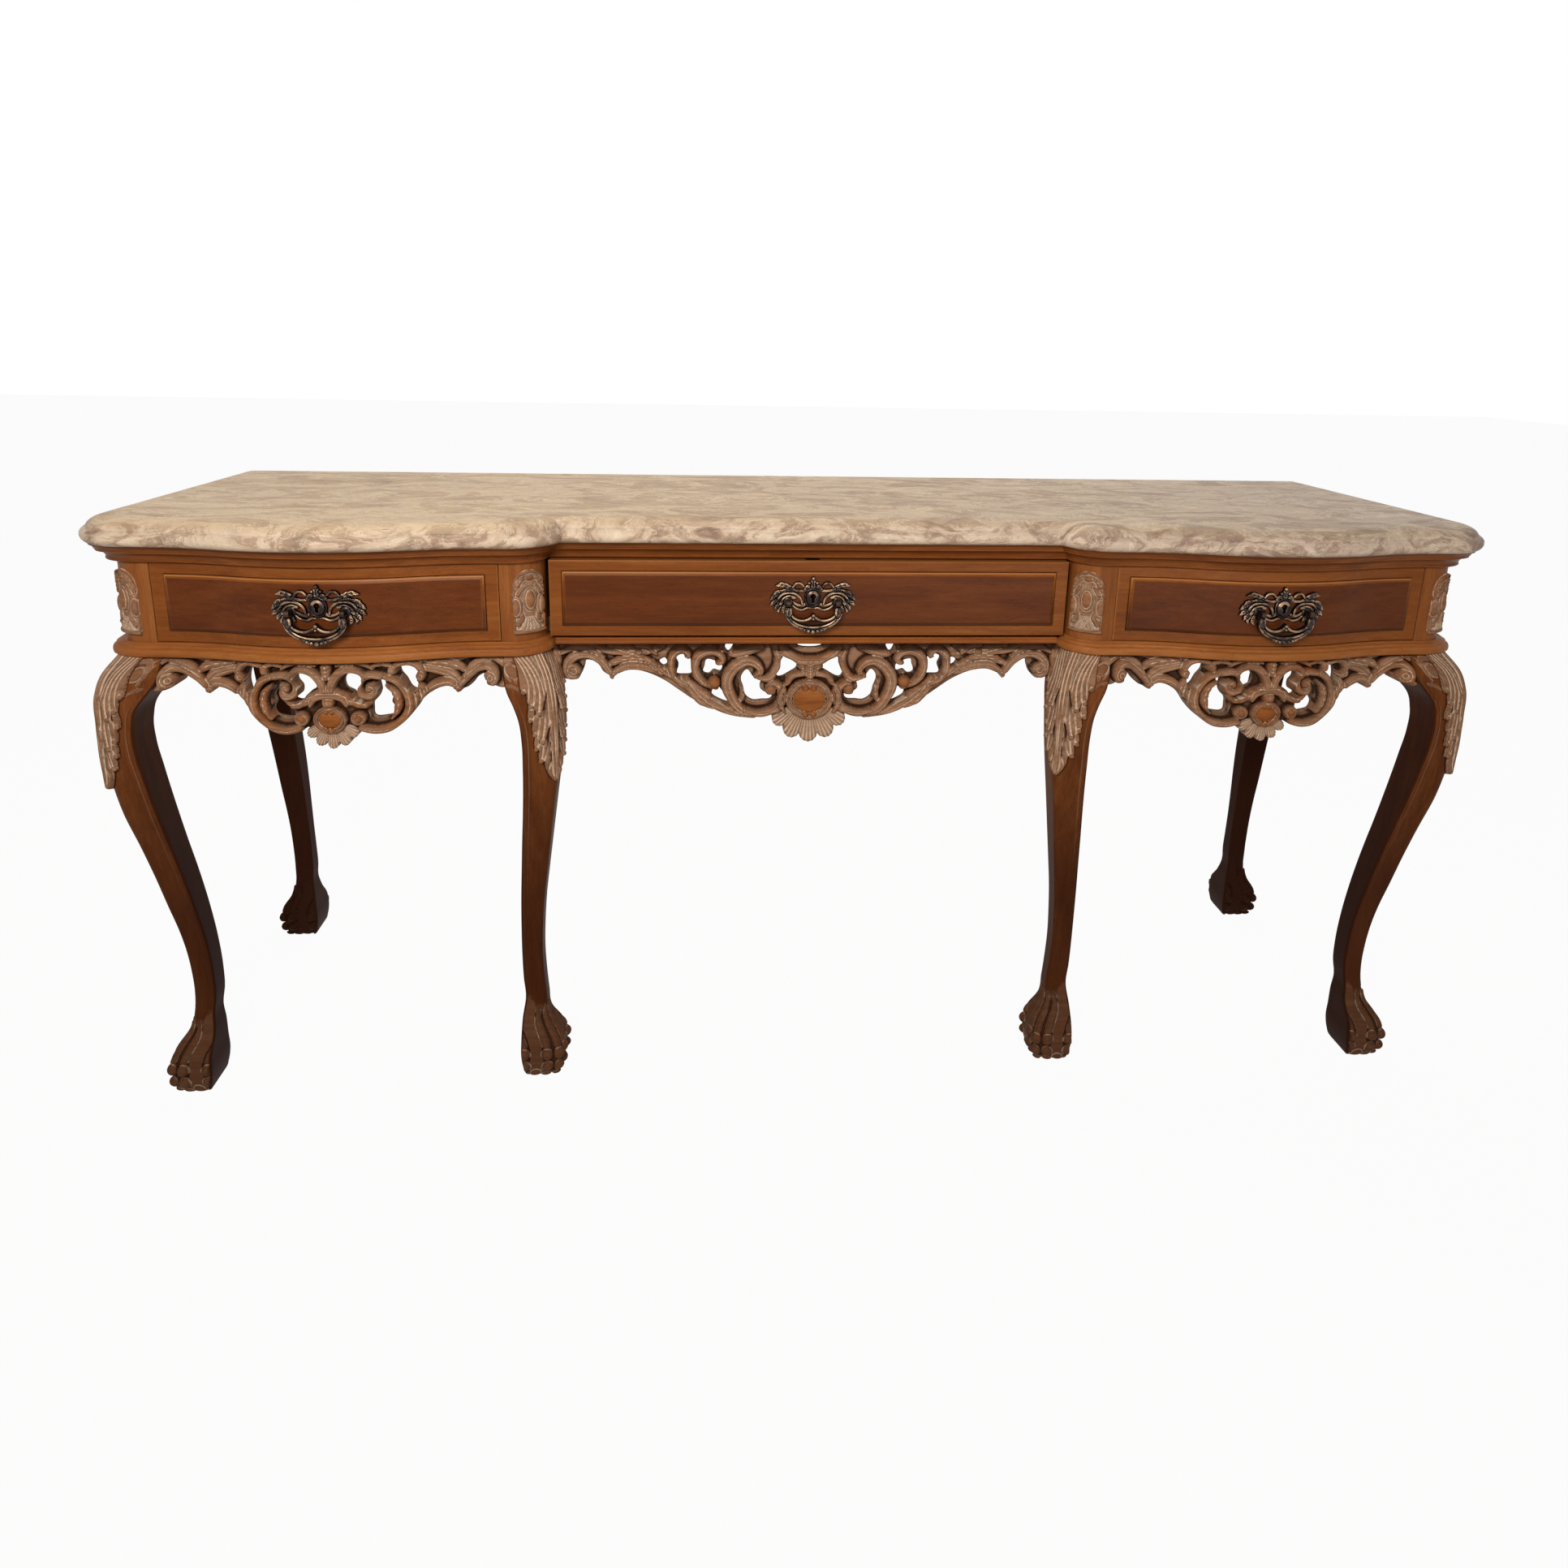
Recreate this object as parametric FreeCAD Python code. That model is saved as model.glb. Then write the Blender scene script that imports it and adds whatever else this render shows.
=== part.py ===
import FreeCAD, Part
import math
import os

os.makedirs("parts", exist_ok=True)
V = FreeCAD.Vector

# Heights of the layers, from the floor up
leg_height = 690.0
bottom_board_thickness = 19.0
frieze_height = 111.0
cornice_height = 25.0
marble_thickness = 35.0

# Plan of the case: two bowed pavilions either side of a straight centre
case_half_width = 944.0
pavilion_inner_face = 376.0
case_depth = 462.0
centre_recess = 45.0
bow_rise = 30.0
stile_width = 56.0
stile_corner_radius = 42.0

# Marble slab and its moulded edge, as reach past the case and height in the slab
marble_overhang = 38.0
marble_back_overhang = 6.0
marble_saw_allowance = 10.0
marble_edge = ((28.0, 0.0), (36.0, 5.0), (38.0, 12.0), (35.0, 19.0), (29.0, 22.0), (20.0, 30.0), (8.0, 35.0))

# Mouldings of the wooden case, as reach past the case and height in the moulding
cornice_edge = ((4.0, 0.0), (6.5, 3.0), (9.5, 9.0), (18.0, 15.0), (20.0, 18.0), (25.0, 25.0))
cornice_strip_width = 25.0
base_edge = ((8.5, 0.0), (12.0, 4.0), (12.0, 10.0), (7.5, 14.0), (7.0, 16.0), (1.5, 19.0))
cornice_joint = 350.0

# Case boards
board_thickness = 18.0
back_panel_thickness = 14.0
rear_post_width = 50.0
centre_rail_height = 10.0
centre_rail_drop = 5.0
centre_rail_depth = 34.0
centre_rail_reach = 12.0

# Carved tablets on the corner stiles
tablet_relief = 2.5
tablet_sill = 12.0
tablet_height = 82.0
tablet_half_width = 22.0

# Cabriole legs, as drop from the top and reach of each face from the case corner
end_leg_outer = ((0.0, 0.0), (22.0, 12.5), (50.0, 20.0), (90.0, 21.5), (130.0, 20.5), (170.0, 17.5),
                 (224.0, 10.5), (281.0, 0.5), (334.0, -9.3), (390.0, -19.4), (430.0, -26.5),
                 (469.0, -31.0), (505.0, -32.0), (540.0, -30.0), (580.0, -25.5))
end_leg_inner = ((0.0, 56.0), (14.0, 55.0), (32.0, 48.0), (49.0, 33.0), (68.0, 23.5), (95.0, 20.5),
                 (130.0, 21.5), (170.0, 26.0), (245.0, 34.5), (290.0, 40.0), (340.0, 46.5), (405.0, 54.0),
                 (462.0, 59.0), (515.0, 60.5), (550.0, 59.0), (580.0, 56.5))
inner_leg_outer = ((0.0, 0.0), (22.0, 12.0), (50.0, 19.0), (90.0, 21.0), (130.0, 20.0), (170.0, 16.0),
                   (232.0, 6.2), (295.0, -3.4), (352.0, -11.8), (400.0, -17.9), (447.0, -21.5),
                   (495.0, -22.5), (537.0, -21.0), (580.0, -17.5))
inner_leg_inner = ((0.0, 56.0), (26.0, 54.5), (50.0, 49.5), (70.0, 41.0), (92.0, 33.5), (125.0, 29.5),
                   (170.0, 29.5), (245.0, 33.5), (295.0, 38.0), (340.0, 42.0), (400.0, 47.0),
                   (445.0, 49.5), (495.0, 50.5), (540.0, 50.0), (580.0, 48.5))
inner_leg_front = ((0.0, 0.0), (22.0, 11.0), (50.0, 17.0), (90.0, 18.5), (130.0, 17.0), (170.0, 13.0),
                   (232.0, 2.0), (295.0, -11.0), (352.0, -22.0), (400.0, -30.0), (447.0, -36.0),
                   (495.0, -39.5), (537.0, -40.5), (580.0, -39.0))
inner_leg_back = ((0.0, 56.0), (26.0, 55.0), (50.0, 52.0), (70.0, 46.0), (92.0, 40.0), (125.0, 36.5),
                  (170.0, 38.0), (245.0, 45.0), (295.0, 51.0), (340.0, 56.0), (400.0, 62.5), (445.0, 66.5),
                  (495.0, 69.0), (540.0, 70.0), (580.0, 69.5))
rear_leg_back = ((0.0, 0.0), (50.0, 2.0), (110.0, 4.0), (170.0, 5.0), (230.0, 3.5), (281.0, -1.5),
                 (334.0, -9.3), (390.0, -19.4), (430.0, -26.5), (469.0, -31.0), (505.0, -32.0),
                 (540.0, -30.0), (580.0, -25.5))
leg_arris_trim = ((0.0, 14.0), (50.0, 15.5), (130.0, 13.0), (182.0, 8.0), (224.0, 5.0), (281.0, 4.0),
                  (580.0, 3.5))
ankle_height = 110.0
end_paw_shift = (6.0, 6.0)
inner_paw_shift = (0.0, 18.0)
rear_leg_inset = 6.0
tenon_diameter = 22.0
tenon_inset = 30.0
tenon_length = 44.0
knee_leaf_relief = ((0.0, 3.0), (50.0, 5.5), (130.0, 6.0), (182.0, 8.0), (290.0, 4.0))
knee_leaf_outline = ((30.0, 0.0), (27.0, 64.0), (16.5, 136.0), (0.0, 182.0))

# Paw foot sections: height, heel line, toe line and how far the toes bulge
paw_sections = ((118.0, -52.0, -21.0, 0.3), (88.0, -52.5, -8.0, 1.5), (62.0, -53.0, 9.0, 4.0),
                (34.0, -52.0, 13.0, 4.5), (10.0, -46.0, 8.0, 3.5), (0.0, -37.0, -10.0, 2.0))
paw_nodes = (0.0, 0.12, 0.31, 0.62, 0.81, 1.0)
paw_bulge = (0.5, 0.9, 0.25, 1.0, 1.0)

# Pierced aprons
apron_thickness = 20.0
apron_setback = 4.0
apron_relief = 5.0
centre_apron_forward = 10.0
pavilion_cartouche = (-83.0, 22.0)
centre_cartouche = (-83.0, 35.0)
pavilion_shell = (43.5, 62.0, 7)
centre_shell = (67.0, 57.0, 7)
shell_scallop = 3.0
band_width = 11.0
band_tip = 0.35
apron_reach = 190.0

# Drawers
front_gap = 1.0
front_thickness = 20.0
field_relief = 3.5
field_margin_side = 28.0
field_margin_top = 17.0
field_margin_bottom = 17.0
field_bevel = 4.0
side_thickness = 12.0
side_height = 88.0
run_clearance = 0.3
box_inset = 8.0
centre_box_inset = 24.0
drawer_back_thickness = 10.0
drawer_bottom_thickness = 6.0
drawer_bottom_rise = 9.0
groove_depth = 5.0
drawer_length = 380.0
centre_drawer_gap = 7.0
guide_height = 20.0
guide_clearance = 0.5
kicker_width = 24.0
kicker_height = 17.0
stop_size = (30.0, 12.0, 5.0)
stop_share = 0.55

# Lock and handle, measured from the keyhole centre
keyhole_drop = 49.0
keyhole_radius = 2.6
keyhole_length = 9.0
keyhole_slot = 4.2
lock_width = 64.0
lock_height = 48.0
lock_depth = 11.0
lock_lip = 2.5
bolt_width = 20.0
plate_thickness = 2.5
escutcheon_size = (10.0, 11.5, 3.0)
pivot_spread = 35.0
pivot_drop = 8.6
pivot_reach = 12.5
pin_diameter = 4.0
pin_clearance = 0.05
eye_diameter = 11.0
eye_width = 6.0
post_diameter = 6.0
nut_diameter = 11.0
nut_thickness = 4.0
post_tail = 1.0
bail_thickness = 5.0
bail_side_gap = 0.5
bail_ear_width = 4.0
bail_ear_drop = 12.0

# Levels and planes that follow from the sizes above
z_board = leg_height
z_frieze = z_board + bottom_board_thickness
z_cornice = z_frieze + frieze_height
z_marble = z_cornice + cornice_height
marble_depth = marble_back_overhang + case_depth + bow_rise + marble_overhang
y_back = marble_depth / 2.0 - marble_back_overhang
y_front = y_back - case_depth
y_centre = y_front + centre_recess
x_inner = pavilion_inner_face
x_outer = case_half_width
x_joint_inner = x_inner + stile_width
x_joint_outer = x_outer - stile_width
x_pavilion = (x_inner + x_outer) / 2.0
bow_half_span = (x_joint_outer - x_joint_inner) / 2.0
bow_radius = (bow_half_span ** 2 + bow_rise ** 2) / (4.0 * bow_rise)
bow_angle = math.degrees(math.asin(bow_half_span / (2.0 * bow_radius)))


# Small drawing helpers
def line(start, end):
    return Part.LineSegment(start, end).toShape()


def polar(centre, radius, degrees):
    angle = math.radians(degrees)
    return centre + V(radius * math.cos(angle), radius * math.sin(angle), 0.0)


def arc(centre, radius, start, end):
    middle = (start + end) / 2.0
    points = [polar(centre, radius, angle) for angle in (start, middle, end)]
    return Part.Arc(*points).toShape()


def bulged(start, end, rise):
    """An arc from start to end that bulges to the right of its way by rise."""
    along = end - start
    side = along.cross(V(0, 0, 1)).normalize()
    return Part.Arc(start, (start + end) / 2.0 + side * rise, end).toShape()


def polygon(points):
    return Part.makePolygon(list(points) + [points[0]])


def box(x0, x1, y0, y1, z0, z1):
    return Part.makeBox(x1 - x0, y1 - y0, z1 - z0, V(x0, y0, z0))


def prism(wire, height, base=0.0):
    solid = Part.Face(wire).extrude(V(0, 0, height))
    solid.translate(V(0, 0, base))
    return solid


def flipped(shape):
    """The same shape on the other side of the table."""
    return shape.mirror(V(0, 0, 0), V(1, 0, 0))


def loop(points):
    """A smooth closed curve through points."""
    curve = Part.BSplineCurve()
    curve.interpolate(points, PeriodicFlag=True)
    return Part.Wire([curve.toShape()])


def smooth(points):
    curve = Part.BSplineCurve()
    curve.interpolate(points)
    return curve.toShape()


def elevation(points, x=0.0, z=0.0, side=1.0):
    """Points of a front view, drawn in the upright plane."""
    return [V(x + side * h, 0.0, z + k) for h, k in points]


def both_sides(half):
    """A half outline and its mirror image, as one row of points."""
    return list(half) + [(-h, k) for h, k in reversed(half) if h > 0.0]


def through(wire, y0, y1):
    """A front view cut through the depth from y0 to y1."""
    solid = Part.Face(wire).extrude(V(0, y1 - y0, 0))
    solid.translate(V(0, y0, 0))
    return solid


def merged(shapes):
    first = shapes[0]
    return first.fuse(shapes[1:]).removeSplitter() if len(shapes) > 1 else first


def save(name, *shapes):
    solids = [solid for shape in shapes for solid in shape.Solids]
    shape = solids[0] if len(solids) == 1 else Part.makeCompound(solids)
    shape.exportStep("parts/" + name + ".step")
    print(name, len(solids), round(shape.Volume))


# Plan lines of the case, moved outward by reach
def bow_edges(reach):
    hollow = bow_radius - reach
    crown = bow_radius + reach
    first = V(x_joint_inner, y_front - bow_radius, 0)
    middle = V(x_pavilion, y_front - bow_rise + bow_radius, 0)
    last = V(x_joint_outer, y_front - bow_radius, 0)
    return [arc(first, hollow, 90, 90 - bow_angle),
            arc(middle, crown, 270 - bow_angle, 270 + bow_angle),
            arc(last, hollow, 90 + bow_angle, 90)]


def pavilion_edges(reach, inner_start=180.0):
    radius = stile_corner_radius + reach
    inner = V(x_inner + stile_corner_radius, y_front + stile_corner_radius, 0)
    outer = V(x_outer - stile_corner_radius, y_front + stile_corner_radius, 0)
    flat = y_front - reach
    return ([arc(inner, radius, inner_start, 270), line(V(inner.x, flat, 0), V(x_joint_inner, flat, 0))]
            + bow_edges(reach)
            + [line(V(x_joint_outer, flat, 0), V(outer.x, flat, 0)), arc(outer, radius, 270, 360)])


def whole_outline(reach, back):
    """Closed plan of the whole table at a reach past the case."""
    crease_y = y_centre - reach
    corner_y = y_front + stile_corner_radius
    crease_x = x_inner - reach
    edges = []
    start = 180.0
    if crease_y < corner_y:
        radius = stile_corner_radius + reach
        start = 180.0 + math.degrees(math.asin((corner_y - crease_y) / radius))
        crease_x = polar(V(x_inner + stile_corner_radius, corner_y, 0), radius, start).x
    else:
        edges.append(line(V(crease_x, crease_y, 0), V(crease_x, corner_y, 0)))
    edges.extend(pavilion_edges(reach, start))
    edges.append(line(V(x_outer + reach, corner_y, 0), V(x_outer + reach, back, 0)))
    mirrored = [flipped(edge) for edge in reversed(edges)]
    centre = line(V(-crease_x, crease_y, 0), V(crease_x, crease_y, 0))
    rear = line(V(x_outer + reach, back, 0), V(-x_outer - reach, back, 0))
    return Part.Wire([centre] + edges + [rear] + mirrored)


def pavilion_outline(reach):
    """Closed plan of the right pavilion, moulded round its front and ends."""
    corner_y = y_front + stile_corner_radius
    step_y = y_centre + centre_rail_depth - centre_rail_reach
    side = [line(V(x_inner, y_back, 0), V(x_inner, step_y, 0)),
            line(V(x_inner, step_y, 0), V(x_inner - reach, step_y, 0)),
            line(V(x_inner - reach, step_y, 0), V(x_inner - reach, corner_y, 0))]
    end = [line(V(x_outer + reach, corner_y, 0), V(x_outer + reach, y_back, 0)),
           line(V(x_outer + reach, y_back, 0), V(x_inner, y_back, 0))]
    return Part.Wire(side + pavilion_edges(reach) + end)


def moulded(outline, edge, base):
    """A board whose rim follows a moulding profile."""
    rims = []
    for reach, height in edge:
        rim = outline(reach)
        rim.translate(V(0, 0, base + height))
        rims.append(rim)
    return Part.makeLoft(rims, True, True)


def bow_strip(inner, outer, z0, z1):
    """The bowed wall of the right pavilion between two reaches."""
    face_in = bow_edges(inner)
    face_out = bow_edges(outer)
    ends = [line(V(x, y_front - inner, 0), V(x, y_front - outer, 0)) for x in (x_joint_inner, x_joint_outer)]
    wire = Part.Wire(Part.__sortEdges__(face_in + face_out + ends))
    return prism(wire, z1 - z0, z0)


# Marble top, top board and cornice
y_wall = y_back + marble_back_overhang
slab = moulded(lambda reach: whole_outline(reach, y_wall + marble_saw_allowance), marble_edge, z_marble)
carcase_top = prism(whole_outline(-cornice_strip_width, y_back), cornice_height, z_cornice)
cornice = moulded(lambda reach: whole_outline(reach, y_back), cornice_edge, z_cornice).cut(carcase_top)
reach_all = case_half_width + marble_overhang
depth_all = marble_depth
marble_top = slab.cut(box(-depth_all - reach_all, reach_all + depth_all, y_wall, depth_all, 0, 2.0 * z_marble))
middle_block = box(-cornice_joint, cornice_joint, -depth_all, depth_all, 0, z_marble)
right_block = box(cornice_joint, reach_all, -depth_all, depth_all, 0, z_marble)
cornice_right = cornice.common(right_block)
save("marble_top", marble_top)
save("carcase_top", carcase_top)
save("cornice_centre", cornice.common(middle_block))
save("cornice_right", cornice_right)
save("cornice_left", flipped(cornice_right))


# Cabriole legs, drawn for a corner at the origin that faces +X and -Y
saw_span = 200.0
leg_stretch = (leg_height - ankle_height) / end_leg_outer[-1][0]


def leg_level(drop):
    return leg_height - drop * leg_stretch


def profile_wire(outer, inner, place):
    front = smooth([place(reach, leg_level(drop)) for drop, reach in outer])
    back = smooth([place(-reach, leg_level(drop)) for drop, reach in inner])
    top = line(back.firstVertex().Point, front.firstVertex().Point)
    foot = line(back.lastVertex().Point, front.lastVertex().Point)
    return Part.Wire(Part.__sortEdges__([front, back, top, foot]))


def side_cut(outer, inner):
    wire = profile_wire(outer, inner, lambda reach, z: V(reach, -saw_span, z))
    return Part.Face(wire).extrude(V(0, 2 * saw_span, 0))


def front_cut(outer, inner):
    wire = profile_wire(outer, inner, lambda reach, z: V(-saw_span, -reach, z))
    return Part.Face(wire).extrude(V(2 * saw_span, 0, 0))


def paw_section(z, heel, toe, bulge):
    """A square section with a scallop for each toe, the tongue and the heel."""
    nodes = [heel + (toe - heel) * share for share in paw_nodes]
    front = [V(node, -toe, z) for node in nodes]
    side = [V(toe, -node, z) for node in reversed(nodes)]
    edges = []
    for row, shares in ((front, paw_bulge), (side, tuple(reversed(paw_bulge)))):
        for start, end, share in zip(row, row[1:], shares):
            edges.append(bulged(start, end, bulge * share))
    corner = V(heel, -heel, z)
    edges.append(bulged(side[-1], corner, bulge))
    edges.append(bulged(corner, front[0], bulge))
    return Part.Wire(edges)


def paw(shift):
    foot = Part.makeLoft([paw_section(*values) for values in paw_sections], True, True)
    foot.translate(V(-shift[0], shift[1], 0))
    return foot


def between(table, drop):
    """Value of a leg table at a drop, along straight lines."""
    for (first, low), (last, high) in zip(table, table[1:]):
        if first <= drop <= last:
            return low + (high - low) * (drop - first) / (last - first)
    return table[-1][1]


def arris_cut(side, front):
    """The eased front corner of a leg, sawn along the diagonal."""
    eased = []
    for drop, reach in side:
        corner = (reach + between(front, drop)) / math.sqrt(2.0)
        eased.append((drop, corner - between(leg_arris_trim, drop)))
    core = [(drop, saw_span) for drop, reach in side]
    solid = side_cut(eased, core)
    solid.rotate(V(0, 0, 0), V(0, 0, 1), -45)
    return solid


def shaft(side, front):
    """A leg sawn to one pair of lines from the front and another from the side."""
    return side_cut(*side).common(front_cut(*front)).common(arris_cut(side[0], front[0]))


def proud(outer):
    return [(drop, reach + between(knee_leaf_relief, drop)) for drop, reach in outer]


def knee_leaf(side, front):
    """The leaf wrapped over the knee, standing proud of both faces."""
    shape = both_sides([(half, leg_level(drop)) for half, drop in knee_leaf_outline])
    blade = through(polygon(elevation(shape)), -saw_span, saw_span)
    blade.rotate(V(0, 0, 0), V(0, 0, 1), 45)
    return shaft((proud(side[0]), side[1]), (proud(front[0]), front[1])).common(blade)


def tenon():
    place = V(-tenon_inset, tenon_inset, leg_height)
    return Part.makeCylinder(tenon_diameter / 2.0, tenon_length, place)


def front_leg(side, front, shift):
    return merged([shaft(side, front), knee_leaf(side, front), paw(shift), tenon()])


def rear_leg():
    """Bowed sideways like the front legs, with a knee planed flat behind."""
    body = shaft((end_leg_outer, end_leg_inner), (rear_leg_back, end_leg_inner))
    return merged([body, paw(end_paw_shift), tenon()]).mirror(V(0, 0, 0), V(0, 1, 0))


def placed(shape, x, y):
    copy = shape.copy()
    copy.translate(V(x, y, 0))
    return copy


end_lines = (end_leg_outer, end_leg_inner)
leg_end_right = placed(front_leg(end_lines, end_lines, end_paw_shift), x_outer, y_front)
leg_inner_left = placed(front_leg((inner_leg_outer, inner_leg_inner), (inner_leg_front, inner_leg_back),
                                  inner_paw_shift), -x_inner, y_front)
y_rear_leg = y_back - rear_leg_inset
leg_rear_right = placed(rear_leg(), x_outer, y_rear_leg)
legs = {"leg_front_right": leg_end_right, "leg_front_left": flipped(leg_end_right),
        "leg_inner_left": leg_inner_left, "leg_inner_right": flipped(leg_inner_left),
        "leg_rear_right": leg_rear_right, "leg_rear_left": flipped(leg_rear_right)}
for name, shape in legs.items():
    save(name, shape)

# Bottom boards, rail, stiles, posts and panels
tenon_spots = ((x_outer - tenon_inset, y_front + tenon_inset),
               (x_inner + tenon_inset, y_front + tenon_inset),
               (x_outer - tenon_inset, y_rear_leg - tenon_inset))
tenons = [Part.makeCylinder(tenon_diameter / 2.0, tenon_length, V(x, y, leg_height)) for x, y in tenon_spots]
bottom_right = moulded(pavilion_outline, base_edge, z_board).cut(tenons)
save("bottom_board_right", bottom_right)
save("bottom_board_left", flipped(bottom_right))
y_rail = y_centre - centre_rail_reach
y_rail_back = y_rail + centre_rail_depth
rail_half = x_inner - max(reach for reach, height in base_edge)
rail_top = z_frieze - centre_rail_drop
save("centre_rail", box(-rail_half, rail_half, y_rail, y_rail_back, rail_top - centre_rail_height, rail_top))
panel_back = y_back - back_panel_thickness
save("bottom_board_centre", box(-x_inner, x_inner, y_rail_back, panel_back, z_board, z_frieze))


def stile_inner_corner():
    """Front post of the right pavilion beside the centre, with its carved tablet."""
    radius = stile_corner_radius
    corner = V(x_inner + radius, y_front + radius, 0)
    depth = y_front + stile_width
    edges = [arc(corner, radius, 180, 270), line(V(corner.x, y_front, 0), V(x_joint_inner, y_front, 0)),
             line(V(x_joint_inner, y_front, 0), V(x_joint_inner, depth, 0)),
             line(V(x_joint_inner, depth, 0), V(x_inner, depth, 0)),
             line(V(x_inner, depth, 0), V(x_inner, corner.y, 0))]
    post = prism(Part.Wire(edges), frieze_height, z_frieze)
    shell = Part.makeCylinder(radius + tablet_relief, frieze_height, V(corner.x, corner.y, z_frieze))
    sill = z_frieze + tablet_sill
    spring = sill + tablet_height - tablet_half_width
    arch = Part.Arc(V(tablet_half_width, 0, spring), V(0, 0, spring + tablet_half_width),
                    V(-tablet_half_width, 0, spring)).toShape()
    legs_of_arch = [line(V(-tablet_half_width, 0, spring), V(-tablet_half_width, 0, sill)),
                    line(V(-tablet_half_width, 0, sill), V(tablet_half_width, 0, sill)),
                    line(V(tablet_half_width, 0, sill), V(tablet_half_width, 0, spring))]
    blade = through(Part.Wire([arch] + legs_of_arch), -saw_span, -stile_corner_radius / 2.0)
    blade.rotate(V(0, 0, 0), V(0, 0, 1), -45)
    blade.translate(corner)
    return merged([post, shell.common(blade)])


stile_inner = stile_inner_corner()
stile_outer = stile_inner.mirror(V(x_pavilion, 0, 0), V(1, 0, 0))
for name, post, tenon_hole in (("inner", stile_inner, tenons[1]), ("outer", stile_outer, tenons[0])):
    drilled = post.cut(tenon_hole)
    save("stile_" + name + "_right", drilled)
    save("stile_" + name + "_left", flipped(drilled))
rear_post = box(x_outer - rear_post_width, x_outer, y_back - rear_post_width, y_back, z_frieze, z_cornice)
rear_post = rear_post.cut(tenons[2])
end_panel = box(x_outer - board_thickness, x_outer, y_front + stile_width, y_back - rear_post_width,
                z_frieze, z_cornice)
partition = box(x_inner, x_inner + board_thickness, y_front + stile_width, panel_back, z_frieze, z_cornice)
for name, shape in (("rear_post", rear_post), ("end_panel", end_panel), ("partition", partition)):
    save(name + "_right", shape)
    save(name + "_left", flipped(shape))
back_half = x_outer - rear_post_width
save("back_panel", box(-back_half, back_half, panel_back, y_back, z_frieze, z_cornice))

# Drawer guides, kickers and stops
pavilion_front_half = bow_half_span - front_gap
pavilion_box_half = pavilion_front_half - box_inset
centre_front_half = x_inner - centre_drawer_gap
centre_box_half = centre_front_half - centre_box_inset
guide_front = y_front + stile_width
guides = []
kickers = []
stops = []
z_kicker = z_cornice - kicker_height
for side in (-1.0, 1.0):
    edges = ((x_inner + board_thickness, x_pavilion - pavilion_box_half - guide_clearance),
             (x_pavilion + pavilion_box_half + guide_clearance, x_outer - board_thickness),
             (centre_box_half + guide_clearance, x_inner))
    for near, far in edges:
        x0, x1 = sorted((side * near, side * far))
        end = min(panel_back, y_back - rear_post_width)
        guides.append(box(x0, x1, guide_front, end, z_frieze, z_frieze + guide_height))
    for near in (x_pavilion - pavilion_box_half, x_pavilion + pavilion_box_half - kicker_width,
                 centre_box_half - kicker_width):
        x0, x1 = sorted((side * near, side * (near + kicker_width)))
        kickers.append(box(x0, x1, guide_front, panel_back, z_kicker, z_cornice))
pavilion_stop = y_front + front_thickness + run_clearance
centre_stop = max(y_centre + run_clearance, y_rail_back)
stop_rows = ((0.0, centre_stop, centre_box_half), (x_pavilion, pavilion_stop, pavilion_box_half),
             (-x_pavilion, pavilion_stop, pavilion_box_half))
for centre_x, y, half in stop_rows:
    for share in (-stop_share, stop_share):
        x = centre_x + share * half - stop_size[0] / 2.0
        stops.append(box(x, x + stop_size[0], y, y + stop_size[1], z_frieze, z_frieze + stop_size[2]))
save("drawer_guides", *guides)
save("drawer_kickers", *kickers)
save("drawer_stops", *stops)

# Handles and locks, drawn round a keyhole at the origin of the front view
z_front_low = z_frieze + front_gap
z_front_high = z_cornice - front_gap
z_keyhole = z_front_high - keyhole_drop
plate_half = ((0.0, 27.0), (5.0, 22.0), (13.0, 16.0), (18.0, 13.5), (24.0, 20.5), (31.0, 17.0),
              (41.0, 18.0), (49.0, 14.0), (43.0, 9.0), (51.0, 5.0), (57.0, -6.0), (54.0, -17.0),
              (46.0, -14.5), (41.0, -25.0), (35.0, -17.5), (25.0, -13.5), (14.0, -15.0), (0.0, -19.0))
plate_holes = (((17.0, -1.0), (22.0, 3.0), (26.0, -3.0), (21.0, -9.0), (15.5, -8.5)),
               ((21.5, 12.0), (25.5, 16.0), (29.5, 12.5), (26.0, 9.5)))
bail_outer = ((35.0, -15.0), (41.0, -20.5), (38.0, -32.0), (28.0, -42.5), (14.0, -48.5), (0.0, -52.0))
bail_inner = ((0.0, -44.0), (13.0, -41.0), (22.5, -35.0), (28.5, -27.5), (29.5, -20.5), (35.0, -15.0))
bail_arm = ((31.0, -24.0), (20.0, -27.5), (9.0, -24.5), (0.0, -19.0))
bail_arm_width = 3.6


def keyhole(centre):
    """Round top and straight slot of a keyhole, as a front view."""
    slot = keyhole_slot / 2.0
    ring = Part.Circle(V(0, 0, 0), V(0, 1, 0), keyhole_radius).toShape()
    head = Part.Face(Part.Wire([ring]))
    foot = Part.Face(polygon([V(-slot, 0, 0), V(slot, 0, 0), V(slot, 0, -keyhole_length),
                              V(-slot, 0, -keyhole_length)]))
    shape = head.fuse(foot).removeSplitter().extrude(V(0, 2 * saw_span, 0))
    shape.translate(V(centre, y_front - saw_span, z_keyhole))
    return shape


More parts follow.
